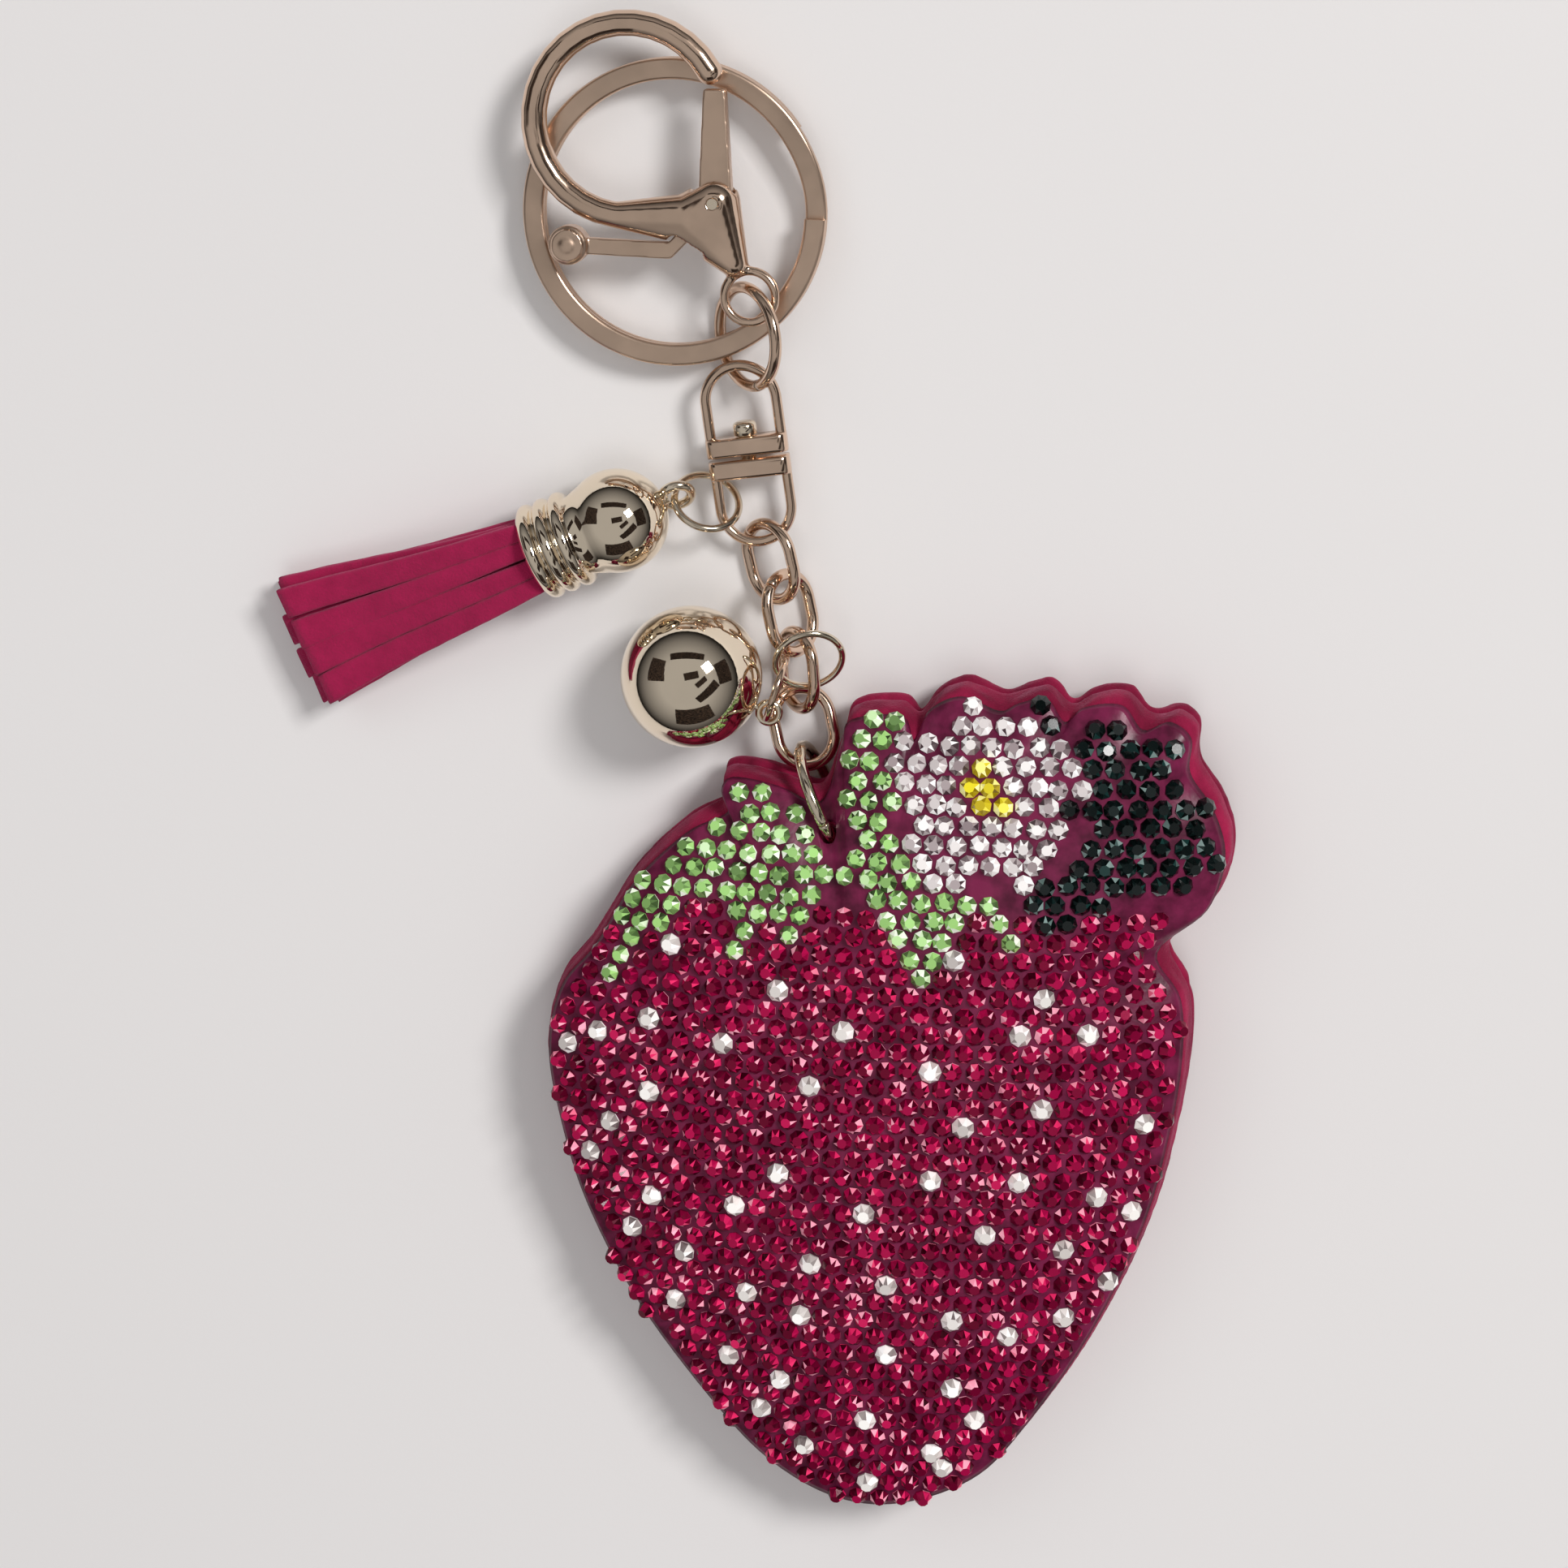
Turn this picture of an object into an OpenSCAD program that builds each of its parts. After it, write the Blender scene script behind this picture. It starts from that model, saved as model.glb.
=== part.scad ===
// Padded strawberry bag charm with a clasp, a split ring, a swivel, a short chain, a tassel and a ball.
// It lies on its flat back: the table is z = 0, +Y runs up towards the clasp, +Z is the jewelled front.
// Millimetres throughout.

/* [Charm] */
// Width of the padded body
charm_w = 62; // [52:1:75]
// Height of the charm from its tip to the top of its leaves
charm_h = 82; // [68:1:99]
// Height of the front rim above the table
rim_z = 8.3; // [7.9:0.1:10]
// How far the front crowns above its rim
crown = 4.4; // [2:0.1:6]
// Height of the seam between the two covers
seam_z = 4.5; // [4:0.1:5.4]
// How far the back lifts off the table at its edge
back_lift = 1.9; // [1.4:0.1:2.6]
// Thickness of a velvet cover
cover_t = 0.9; // [0.5:0.1:1.2]
// Thickness of the clear film under the stones
film_t = 0.3; // [0.2:0.05:0.5]

/* [Stones] */
// Diameter of one stone
stone_d = 1.8; // [1.2:0.1:2]
// Height of one stone
stone_h = 0.9; // [0.6:0.1:1.2]
// Distance between neighbouring stones
stone_pitch = 2.05; // [2.05:0.05:3]

/* [Chain] */
// Outer length of a chain link
link_l = 8.4; // [7:0.1:10.1]
// Outer width of a chain link
link_w = 6.8; // [5.9:0.1:8.2]
// Wire diameter of the chain
chain_wire = 1.15; // [0.9:0.05:1.3]
// Outer diameter of the ring through the charm
bail_od = 11; // [10:0.1:13]
// Wire diameter of that ring
bail_wire = 1.1; // [0.9:0.05:1.3]
// Clearance round that ring where it passes through the charm
bail_gap = 0.4; // [0.3:0.05:0.8]

/* [Swivel] */
// Outer width of a swivel bow
swivel_w = 7.6; // [6.6:0.1:9]
// Length of the upper bow from the turning gap
upper_l = 9; // [7.6:0.1:10.8]
// Length of the lower bow from the turning gap
lower_l = 8.6; // [7.2:0.1:10.3]
// Wire diameter of a bow
bow_wire = 1; // [0.8:0.05:1.2]
// Radius of the rivet that joins the bows
rivet_r = 0.7; // [0.5:0.05:0.85]
// Radial clearance of the rivet in its hole
rivet_fit = 0.05; // [0.02:0.01:0.1]

/* [Rings and clasp] */
// Outer diameter of the split ring
split_od = 28; // [24:0.5:34]
// Width of the split ring's flat wire
split_band = 2; // [1.5:0.1:2.4]
// Thickness of one coil of the split ring
split_coil = 0.95; // [0.7:0.05:1.1]
// Outer diameter of the ring that joins clasp, split ring and swivel
joiner_od = 10.2; // [10.2:0.1:12.2]
// Wire diameter of that ring
joiner_wire = 1.1; // [0.9:0.05:1.1]
// Inner radius of the clasp's hook
hook_r = 7.45; // [6.5:0.05:9]
// Wire diameter of the clasp's hook
hook_wire = 2.4; // [2:0.1:2.8]
// Thickness of the gate
gate_t = 1.7; // [1.4:0.1:2]
// How far the gate opens, in degrees
gate_swing = 20; // [15:1:22]
// Radius of the gate's pin
pin_r = 0.5; // [0.4:0.05:0.65]
// Radial clearance of the gate on its pin
pin_fit = 0.05; // [0.02:0.01:0.1]

/* [Tassel and ball] */
// Radius of the tassel's ball-shaped head
head_r = 4.85; // [4:0.05:5.5]
// Outer radius of the tassel's collar
collar_r = 4.5; // [3.9:0.05:5.4]
// Length of the tassel's collar
collar_l = 4.2; // [3.4:0.1:5.2]
// Free length of the suede strips
strip_l = 25; // [20:0.5:32]
// Thickness of a suede strip
strip_t = 1.2; // [0.9:0.1:1.4]
// Radius of the hanging ball
ball_r = 6.6; // [5.5:0.1:8]

/* [Hidden] */
$fn = 48;

// Colours
gold = [0.84, 0.72, 0.58];
pale_gold = [0.88, 0.80, 0.64];
velvet = [0.55, 0.12, 0.28];
suede = [0.60, 0.13, 0.30];

// ---------- Charm outline ----------
// Points of the silhouette, counter-clockwise, for a body 62 wide and 82 high
NOMINAL_W = 62;
NOMINAL_H = 82;
OUTLINE = [[28.5, 16.5], [33, 20.8], [34.5, 26], [33.3, 30.5], [31, 34], [31, 37.3], [29, 38.8],
    [26.5, 38], [24.5, 40.3], [21, 40], [19.2, 38.6], [17.5, 40.7], [15, 40.3], [13, 39.5],
    [9.5, 40.8], [6.4, 39.4], [5, 36.6], [3.8, 38.8], [-1, 38.3], [-2, 36], [-3.2, 31.6],
    [-4.6, 30.3], [-8, 31.7], [-12.4, 32.4], [-13.6, 31], [-13, 29], [-17, 26.8], [-22.2, 21.7],
    [-26.1, 15.2], [-29.4, 11], [-30.8, 5], [-29.9, -2], [-27.2, -11.3], [-21.8, -21.8],
    [-14, -32.1], [-8.4, -37.6], [-2.1, -40.8], [4.2, -41], [11.2, -38.1], [16, -32.9],
    [22.6, -22.6], [27.7, -11.1], [30.1, -1.4], [31.1, 6], [30.8, 12]];
SMOOTHING = 2;
stretch = [charm_w / NOMINAL_W, charm_h / NOMINAL_H];
centre = [0, 4 * stretch[1]];

function curve_point(p, i, t) =
    let (n = len(p), a = p[(i - 1 + n) % n], b = p[i], c = p[(i + 1) % n], d = p[(i + 2) % n])
    0.5 * (2 * b + (c - a) * t + (2 * a - 5 * b + 4 * c - d) * t * t
        + (3 * b - a - 3 * c + d) * t * t * t);

function smooth(p, steps) = [for (i = [0 : len(p) - 1], k = [0 : steps - 1])
    curve_point(p, i, k / steps)];

edge = [for (p = smooth(OUTLINE, SMOOTHING)) [p[0] * stretch[0], p[1] * stretch[1]]];
edge_n = len(edge);

// One closed loop of the charm: moved in from the edge, shrunk towards the centre, at a height
function loop(inset, share, z) = [for (p = edge)
    let (v = p - centre, r = norm(v), q = centre + v * (r - inset) / r * share)
    [q[0], q[1], z]];

// A closed solid through loops that follow each other, with a flat cap on the first and the last
module shell(loops) {
    rings = len(loops);
    points = [for (l = loops, p = l) p];
    sides = [for (j = [0 : rings - 2], i = [0 : edge_n - 1], half = [0, 1])
        let (k = (i + 1) % edge_n, a = j * edge_n + i, b = j * edge_n + k,
            c = (j + 1) * edge_n + k, d = (j + 1) * edge_n + i)
        half == 0 ? [a, b, c] : [a, c, d]];
    first = [for (i = [edge_n - 1 : -1 : 0]) i];
    last = [for (i = [0 : edge_n - 1]) (rings - 1) * edge_n + i];
    polyhedron(points = points, faces = concat([first], sides, [last]));
}

// Shares of the radius at which the crown and the back are drawn
SHARES = [0.1, 0.35, 0.6, 0.8, 0.93];
CROWN_POWER = 2.5;
BACK_POWER = 6;
rim_inset = 1.3;
FILM_EDGE = 0.985;
seam_inset = 0.6;
seam_half = 0.15;
top_bevel = 0.5;
layer_gap = 0.04;
function crown_z(share) = rim_z + crown * (1 - pow(share, CROWN_POWER));
function back_z(share) = back_lift * pow(share, BACK_POWER);

// The crown's height between its loops
crown_table = [for (s = concat(SHARES, [1])) [s, crown_z(s)]];
function edge_radius(a) =
    let (u = [cos(a), sin(a)])
    max([for (i = [0 : edge_n - 1])
        let (p = edge[i] - centre, q = edge[(i + 1) % edge_n] - centre, e = q - p,
            d = u[0] * e[1] - u[1] * e[0],
            t = d == 0 ? -1 : (p[0] * e[1] - p[1] * e[0]) / d,
            s = d == 0 ? -1 : (p[0] * u[1] - p[1] * u[0]) / d)
        (s >= 0 && s <= 1 && t > 0) ? t : 0]);
function share_at(p) = let (v = p - centre) norm(v) / (edge_radius(atan2(v[1], v[0])) - rim_inset);

// ---------- Hardware places at rest ----------
// The ring through the charm sits in the notch beside the stalk and moves with it
NOTCH = [-4, 29.3];
notch = [NOTCH[0] * stretch[0], NOTCH[1] * stretch[1]];
bail_turn = 24;
bail_z = bail_od / 2 + 0.02;
bail_centre = [notch[0], notch[1], bail_z];
bail_mean = (bail_od - bail_wire) / 2;
bail_top = bail_mean * [-sin(bail_turn), cos(bail_turn)];

// A chain link's centre from the one before it: play is how far the chain is short of taut
function heading(a) = [-sin(a), cos(a), 0];
inner_l = link_l - 2 * chain_wire;
link_4 = [notch[0] + bail_top[0] - 0.09, notch[1] + bail_top[1] + link_l / 2 - 2.82, 2.9];
link_3 = link_4 + (inner_l - 0.67) * heading(6.4);
link_2 = link_3 + (inner_l - 0.65) * heading(7.4) + [0, 0, 0.1];
link_1 = link_2 + (inner_l - 1.04) * heading(22) + [0, 0, -0.6];
link_turns = [13, 12, 4, 14];
link_pitches = [0, 0, 0, -12];
link_rolls = [-38, 56, -51, 32];

swivel_turn = 7.5;
swivel_pitch = 3;
bow_reach = link_l / 2 - chain_wire - bow_wire / 2 - 0.54;
bow_foot = [link_1[0], link_1[1], 0] + bow_reach * heading(21.6);
swivel_z = 2.75;
swivel = bow_foot + (lower_l - bow_wire / 2) * heading(swivel_turn) + [0, 0, swivel_z];
bow_head = swivel + (upper_l - bow_wire / 2) * heading(swivel_turn);

joiner_turn = 6;
joiner_roll = -48;
joiner_mean = (joiner_od - joiner_wire) / 2;
joiner = [bow_head[0], bow_head[1], 0] + (joiner_mean - 1.6) * heading(-20)
    + [0, 0, joiner_mean * sin(-joiner_roll) + joiner_wire / 2 + 0.07];

split_mean = (split_od - split_band) / 2;
split_rise = 1.62;
coil_gap = 0.04;
split_h = 2 * split_coil + coil_gap;
split_turn = 31.9;
split_centre = [joiner[0], joiner[1], split_rise]
    + (split_mean + 0.07) * heading(split_turn);
joggle_start = -2;
joggle_turn = 34;

clasp_z = split_rise + split_h + hook_wire / 2 + 0.55;
eye_od = 5.6;
eye_wire = 0.9;
clasp_eye = [joiner[0] + 0.4, joiner[1] + joiner_mean - 0.75, clasp_z];
hook_mean = hook_r + hook_wire / 2;
// The hook's centre seen from the clasp's eye
hook_from_eye = [-11.1, hook_r + 8.35];
hook = [clasp_eye[0] + hook_from_eye[0], clasp_eye[1] + hook_from_eye[1], clasp_z];
// Pivot and root of the clasp body, from the hook's centre
pivot = [hook_r + 0.55, -hook_r - 0.05 + 0.2];
root = [9.7, -hook_r - 5.35];

tassel_ring_od = 6.8;
tassel_ring_wire = 0.7;
tassel_ring_mean = (tassel_ring_od - tassel_ring_wire) / 2;
tassel_ring_roll = 18;
tassel_ring_pitch = -47;
tassel_link = swivel + [-swivel_w / 2 - 0.3, -4.3, 0.35];
tassel_eye_od = 3.6;
tassel_eye_wire = 0.9;
tassel_turn = 203;
tassel_joint = tassel_link
    - (tassel_ring_mean - 0.2) * [cos(tassel_ring_roll), sin(tassel_ring_roll) * sin(tassel_ring_pitch),
        -sin(tassel_ring_roll) * cos(tassel_ring_pitch)];
head_reach = head_r + tassel_eye_od / 2 - 0.75;
head = [tassel_joint[0] + head_reach * cos(tassel_turn),
    tassel_joint[1] + head_reach * sin(tassel_turn), head_r + 0.02];

jump_od = 6.9;
jump_wire = 0.65;
jump = link_3 + [link_w / 2 - 2, 1.5, 2.5];
loop_od = 6.4;
loop_turn = -18;
loop_roll = 93;
loop_mean = (loop_od - jump_wire) / 2;
ball_loop_at = jump + [-2.8, -2.5, 1.7];
ball_eye_od = 2.6;
ball_eye_wire = 0.7;
ball_eye_at = ball_loop_at + [-0.87, -2.48, -1.17];
ball_turn = 155;
ball_reach = ball_r + ball_eye_od / 2 + 0.05;
ball_z = ball_r + 0.02;
ball_rise = asin((ball_z - ball_eye_at[2]) / ball_reach);
ball_centre = ball_eye_at + ball_reach
    * [cos(ball_turn) * cos(ball_rise), sin(ball_turn) * cos(ball_rise), sin(ball_rise)];

// ---------- Shared shapes ----------
// Turns a piece about its own long axis (Y), then lifts its far end, then turns it on the table
module place(at, turn = 0, pitch = 0, roll = 0) {
    translate(at) rotate([0, 0, turn]) rotate([pitch, 0, 0]) rotate([0, roll, 0]) children();
}

module wire_ring(od, wire) {
    rotate_extrude() translate([(od - wire) / 2, 0]) circle(d = wire);
}

// A round wire ring with the fine cut where it was closed
cut_w = 0.12;
module jump_ring(od, wire, cut_at) {
    difference() {
        wire_ring(od, wire);
        rotate([0, 0, cut_at]) translate([(od - wire) / 2, 0, 0]) cube([2 * wire, cut_w, 2 * wire],
            center = true);
    }
}

module half_ring(mean, wire) {
    rotate_extrude(angle = 180) translate([mean, 0]) circle(d = wire);
}

module rod(length, r) {
    rotate([-90, 0, 0]) cylinder(h = length, r = r);
}

module chain_link() {
    mean = (link_w - chain_wire) / 2;
    side = link_l / 2 - chain_wire / 2 - mean;
    difference() {
        union() {
            translate([0, side, 0]) half_ring(mean, chain_wire);
            translate([0, -side, 0]) rotate([0, 0, 180]) half_ring(mean, chain_wire);
            for (x = [-mean, mean]) translate([x, -side, 0]) rod(2 * side, chain_wire / 2);
        }
        translate([0, side, 0]) rotate([0, 0, 130]) translate([mean, 0, 0])
            cube([2 * chain_wire, 2 * cut_w, 2 * chain_wire], center = true);
    }
}

// ---------- Charm pieces ----------
module bail_channel(gap) {
    translate(bail_centre) rotate([0, 0, bail_turn]) rotate([0, 90, 0])
        wire_ring(bail_od + 2 * gap, bail_wire + 2 * gap);
}

module front_cover() {
    inner_inset = cover_t + 0.2;
    color(velvet) difference() {
        shell(concat(
            [for (s = SHARES) loop(rim_inset, s, crown_z(s))],
            [loop(rim_inset, 1, rim_z), loop(top_bevel, 1, rim_z - top_bevel),
                loop(0, 1, rim_z - 2 * top_bevel), loop(0, 1, seam_z + 1),
                loop(seam_inset, 1, seam_z + seam_half),
                loop(seam_inset + inner_inset, 1, seam_z + seam_half)],
            [loop(inner_inset + rim_inset / 2, 1, rim_z - cover_t - top_bevel)],
            [for (i = [len(SHARES) - 1 : -1 : 0])
                loop(rim_inset + inner_inset / 2, SHARES[i], crown_z(SHARES[i]) - cover_t)]));
        bail_channel(bail_gap);
    }
}

module back_cover() {
    inner_inset = cover_t + 0.2;
    color(velvet) difference() {
        shell(concat(
            [for (s = SHARES) loop(rim_inset + inner_inset / 2, s, back_z(s) + cover_t)],
            [loop(inner_inset + rim_inset / 2, 1, back_lift + cover_t + 0.2),
                loop(seam_inset + inner_inset, 1, seam_z - seam_half),
                loop(seam_inset, 1, seam_z - seam_half), loop(0, 1, seam_z - 1),
                loop(0, 1, back_lift + 0.8), loop(rim_inset / 2, 1, back_lift + 0.3),
                loop(rim_inset, 1, back_lift)],
            [for (i = [len(SHARES) - 1 : -1 : 0]) loop(rim_inset, SHARES[i], back_z(SHARES[i]))]));
        bail_channel(bail_gap);
    }
}

module stuffing() {
    inner_inset = cover_t + 0.2;
    side = seam_inset + inner_inset + 0.25;
    lift = cover_t + 0.3;
    color("ivory") difference() {
        shell(concat(
            [for (s = SHARES) loop(rim_inset + side, s, crown_z(s) - lift)],
            [loop(rim_inset + side, 1, rim_z - lift - 0.2), loop(side, 1, rim_z - lift - 1),
                loop(side, 1, back_lift + lift + 0.6),
                loop(rim_inset + side, 1, back_lift + lift + 0.1)],
            [for (i = [len(SHARES) - 1 : -1 : 0])
                loop(rim_inset + side, SHARES[i], back_z(SHARES[i]) + lift)]));
        bail_channel(bail_gap);
    }
}

module stone_film() {
    low = layer_gap;
    high = layer_gap + film_t;
    color([0.75, 0.5, 0.6, 0.6]) difference() {
        shell(concat(
            [for (s = concat(SHARES, [FILM_EDGE])) loop(rim_inset, s, crown_z(s) + high)],
            [for (s = concat([FILM_EDGE], [for (i = [len(SHARES) - 1 : -1 : 0]) SHARES[i]]))
                loop(rim_inset, s, crown_z(s) + low)]));
        bail_channel(bail_gap);
    }
}

// ---------- Stones ----------
// Regions of the front, for a body 62 wide and 82 high
GREEN_LEAVES = [[-13.5, 32], [-4.5, 30], [-2.5, 32], [-1.5, 37.5], [3.5, 37.5], [5, 32.5], [4, 28.5],
    [6, 23], [10, 22], [13.5, 21.5], [16, 18.5], [17, 14.5], [11, 20], [8.5, 19], [6.5, 10.5],
    [3.5, 18.5], [0, 22], [-2, 21.5], [-6, 16], [-8.5, 21], [-11, 14.5], [-13, 20.5], [-15.5, 19.5],
    [-24, 12], [-22.5, 20], [-19.5, 23.5], [-15.5, 26.5], [-11.5, 29]];
DARK_LEAVES = [[14, 39.5], [17, 40], [20, 38], [23.5, 40], [25, 38], [29, 38], [30, 33.5], [33, 29.5],
    [33.5, 24], [28.5, 22], [25.5, 22.5], [23.5, 20], [17.5, 19], [14, 22.5], [18, 24], [21.5, 27.5],
    [19, 30.5], [20.5, 33.5], [17, 37]];
FLOWER = [11.5, 31.5];
PETAL_REACH = 5.8;
PETAL_R = 3.9;
CENTRE_R = 2.6;
// Where the clear seeds sit, for a body 62 wide and 82 high
SEEDS = [
    [-21.5, 16], [-17.5, 15.5], [-7.5, 12.5], [8.5, 16], [18, 12], [-24.5, 7.5], [-19, 9], [-12, 6.5],
    [-1, 8.5], [14.5, 9], [21.5, 8], [-28.5, 4.5], [-20.5, 1.5], [-4, 3.5], [7, 4.5], [17, 1.5], [27, 0],
    [-23.5, -1.5], [-7, -4.5], [11, -0.5], [-25.5, -6], [-18.5, -8], [-12, -8], [0, -8], [6.5, -5.5],
    [15.5, -5], [22, -7], [-22.5, -12], [-5, -14.5], [4, -15.5], [13, -11.5], [19.5, -12.5],
    [25.5, -8.5], [-16.5, -15], [-9.5, -18.5], [-5.5, -20], [9.5, -19], [14.5, -21], [19.5, -19],
    [23, -16.5], [-18, -19], [-11.5, -25], [-6.5, -27.5], [2.5, -22.5], [8.5, -27], [11.5, -30],
    [18.5, -26], [-10, -29.5], [-5, -34], [1, -31], [6.5, -33.5], [0.5, -37], [9, -36]];

function inside(p, poly) =
    let (n = len(poly), hits = [for (i = [0 : n - 1])
        let (a = poly[i], b = poly[(i + 1) % n])
        if ((a[1] > p[1]) != (b[1] > p[1])
            && p[0] < (b[0] - a[0]) * (p[1] - a[1]) / (b[1] - a[1]) + a[0]) 1])
    len(hits) % 2 == 1;
function on_petal(p) = min([for (k = [0 : 4])
    norm(p - FLOWER - PETAL_REACH * [cos(90 + 72 * k), sin(90 + 72 * k)])]) < PETAL_R;
// 0 pink field, 1 seed, 2 green leaf, 3 flower, 4 flower centre, 5 dark leaf
function stone_kind(p, i, j) =
    let (q = [p[0] / stretch[0], p[1] / stretch[1]])
    norm(q - FLOWER) < CENTRE_R ? 4
    : (on_petal(q) || norm(q - FLOWER) < PETAL_REACH) ? 3
    : inside(q, DARK_LEAVES) ? 5
    : inside(q, GREEN_LEAVES) ? 2
    : len([for (s = SEED_CELLS) if (s == [i, j]) 1]) > 0 ? 1 : 0;
stone_sink = 0.12;
stone_row = stone_pitch * sqrt(3) / 2;
// The stone nearest to each seed's place, as its column and row
SEED_CELLS = [for (s = SEEDS)
    let (j = round(s[1] * stretch[1] / stone_row), half = j % 2 == 0 ? 0 : 0.5)
    [round(s[0] * stretch[0] / stone_pitch - half), j]];
bail_clear = bail_wire / 2 + stone_d / 2 + 0.5;
function from_bail(p) =
    let (v = p - notch, along = -v[0] * sin(bail_turn) + v[1] * cos(bail_turn),
        across = v[0] * cos(bail_turn) + v[1] * sin(bail_turn))
    along > -bail_od / 2 ? abs(across) : 99;

// Height of the crown under a point, and the way it leans there
function crown_at(p) = lookup(share_at(p), crown_table);
LEAN_STEP = 0.5;
function lean(p) = [crown_at(p) - crown_at(p + [LEAN_STEP, 0]), crown_at(p) - crown_at(p + [0, LEAN_STEP]),
    LEAN_STEP];

// The largest share that a stone's rim reaches
function widest_share(p) = max([for (a = [0 : 45 : 315])
    share_at(p + (stone_d / 2 + 0.1) * [cos(a), sin(a)])]);

module stones(kind) {
    rows = ceil(charm_h / 2 / stone_row);
    columns = ceil(charm_w / 2 / stone_pitch) + 3;
    lift = layer_gap + film_t - stone_sink;
    for (j = [-rows : rows], i = [-columns : columns]) {
        p = [(i + (j % 2 == 0 ? 0 : 0.5)) * stone_pitch, j * stone_row];
        if (stone_kind(p, i, j) == kind && widest_share(p) < FILM_EDGE && from_bail(p) > bail_clear) {
            n = lean(p);
            translate([p[0], p[1], crown_at(p)])
                rotate([0, acos(n[2] / norm(n)), atan2(n[1], n[0])])
                translate([0, 0, lift]) cylinder(h = stone_h, d1 = stone_d, d2 = stone_d * 0.55);
        }
    }
}
module seed_stones() { color("white") stones(1); }
module leaf_stones() { color([0.55, 0.78, 0.45]) stones(2); }
module flower_stones() { color([0.9, 0.88, 0.9]) stones(3); }
module flower_centre_stones() { color([0.9, 0.85, 0.2]) stones(4); }
module dark_leaf_stones() { color([0.05, 0.12, 0.1]) stones(5); }

// ---------- Chain ----------
module bail_ring() {
    color(pale_gold) translate(bail_centre) rotate([0, 0, bail_turn]) rotate([0, 90, 0])
        jump_ring(bail_od, bail_wire, 200);
}
module placed_link(k, at) {
    color(gold) place(at, link_turns[k], link_pitches[k], link_rolls[k]) chain_link();
}
module chain_link_1() { placed_link(0, link_1); }
module chain_link_2() { placed_link(1, link_2); }
module chain_link_3() { placed_link(2, link_3); }
module chain_link_4() { placed_link(3, link_4); }

// ---------- Swivel ----------
band_l = 1.7;
band_t = 2.4;
turn_gap = 0.2;
module swivel_frame() { place(swivel, swivel_turn, swivel_pitch, 0) children(); }

// A bow: two legs and a half ring beyond them
module bow(length) {
    mean = (swivel_w - bow_wire) / 2;
    leg = length - bow_wire / 2 - mean;
    translate([0, leg, 0]) half_ring(mean, bow_wire);
    for (x = [-mean, mean]) translate([x, band_l / 2, 0]) rod(leg - band_l / 2, bow_wire / 2);
}
module band() {
    intersection() {
        translate([-swivel_w / 2, turn_gap, -band_t / 2]) cube([swivel_w, band_l, band_t]);
        translate([0, turn_gap, 0]) rod(band_l, swivel_w / 2 - 0.05);
    }
}
module swivel_upper_bow() {
    color(gold) swivel_frame() difference() {
        union() {
            bow(upper_l);
            band();
        }
        rod(2 * band_l, rivet_r + rivet_fit);
    }
}
module swivel_lower_bow() {
    color(gold) swivel_frame() mirror([0, 1, 0]) difference() {
        union() {
            bow(lower_l);
            band();
        }
        rod(2 * band_l, rivet_r);
    }
}
module swivel_rivet() {
    foot = turn_gap + band_l;
    head_at = turn_gap + band_l + 0.12;
    color(pale_gold) swivel_frame() {
        translate([0, -foot, 0]) rod(foot + head_at, rivet_r);
        translate([0, head_at, 0]) rod(1.3, rivet_r + 0.4);
    }
}

// ---------- Rings at the top ----------
module joiner_ring() {
    color(gold) place(joiner, joiner_turn, 0, joiner_roll) jump_ring(joiner_od, joiner_wire, 285);
}

// Two flat coils, one on the other, joined where the wire steps up from the lower coil
module split_ring() {
    inner = split_od / 2 - split_band;
    step = joggle_start + joggle_turn;
    color(gold) translate(split_centre) {
        rotate_extrude() translate([inner, 0]) square([split_band, split_coil]);
        rotate([0, 0, step]) rotate_extrude(angle = 360 - joggle_turn)
            translate([inner, split_coil + coil_gap]) square([split_band, split_coil]);
        rotate([0, 0, step + 2]) rotate_extrude(angle = 8)
            translate([inner + split_band * 0.3, split_coil / 2])
            square([split_band * 0.4, split_coil + coil_gap]);
    }
}

// ---------- Clasp ----------
module clasp_frame() { translate(hook) children(); }
slot_t = gate_t + 0.25;
cheek_r = 2.3;
barrel_r = 1.75;
HOOK_FROM = 30;
HOOK_TO = 262;
lever_turn = 227;
lever_w = 1.5;
lever_elbow = 6;
thumb_r = 1.8;
thumb_t = 2.3;
thumb = [-5.5, -hook_r - 3.85] - pivot;
function polar(r, a) = [r * cos(a), r * sin(a)];
hook_end = polar(hook_mean, HOOK_TO);

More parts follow.
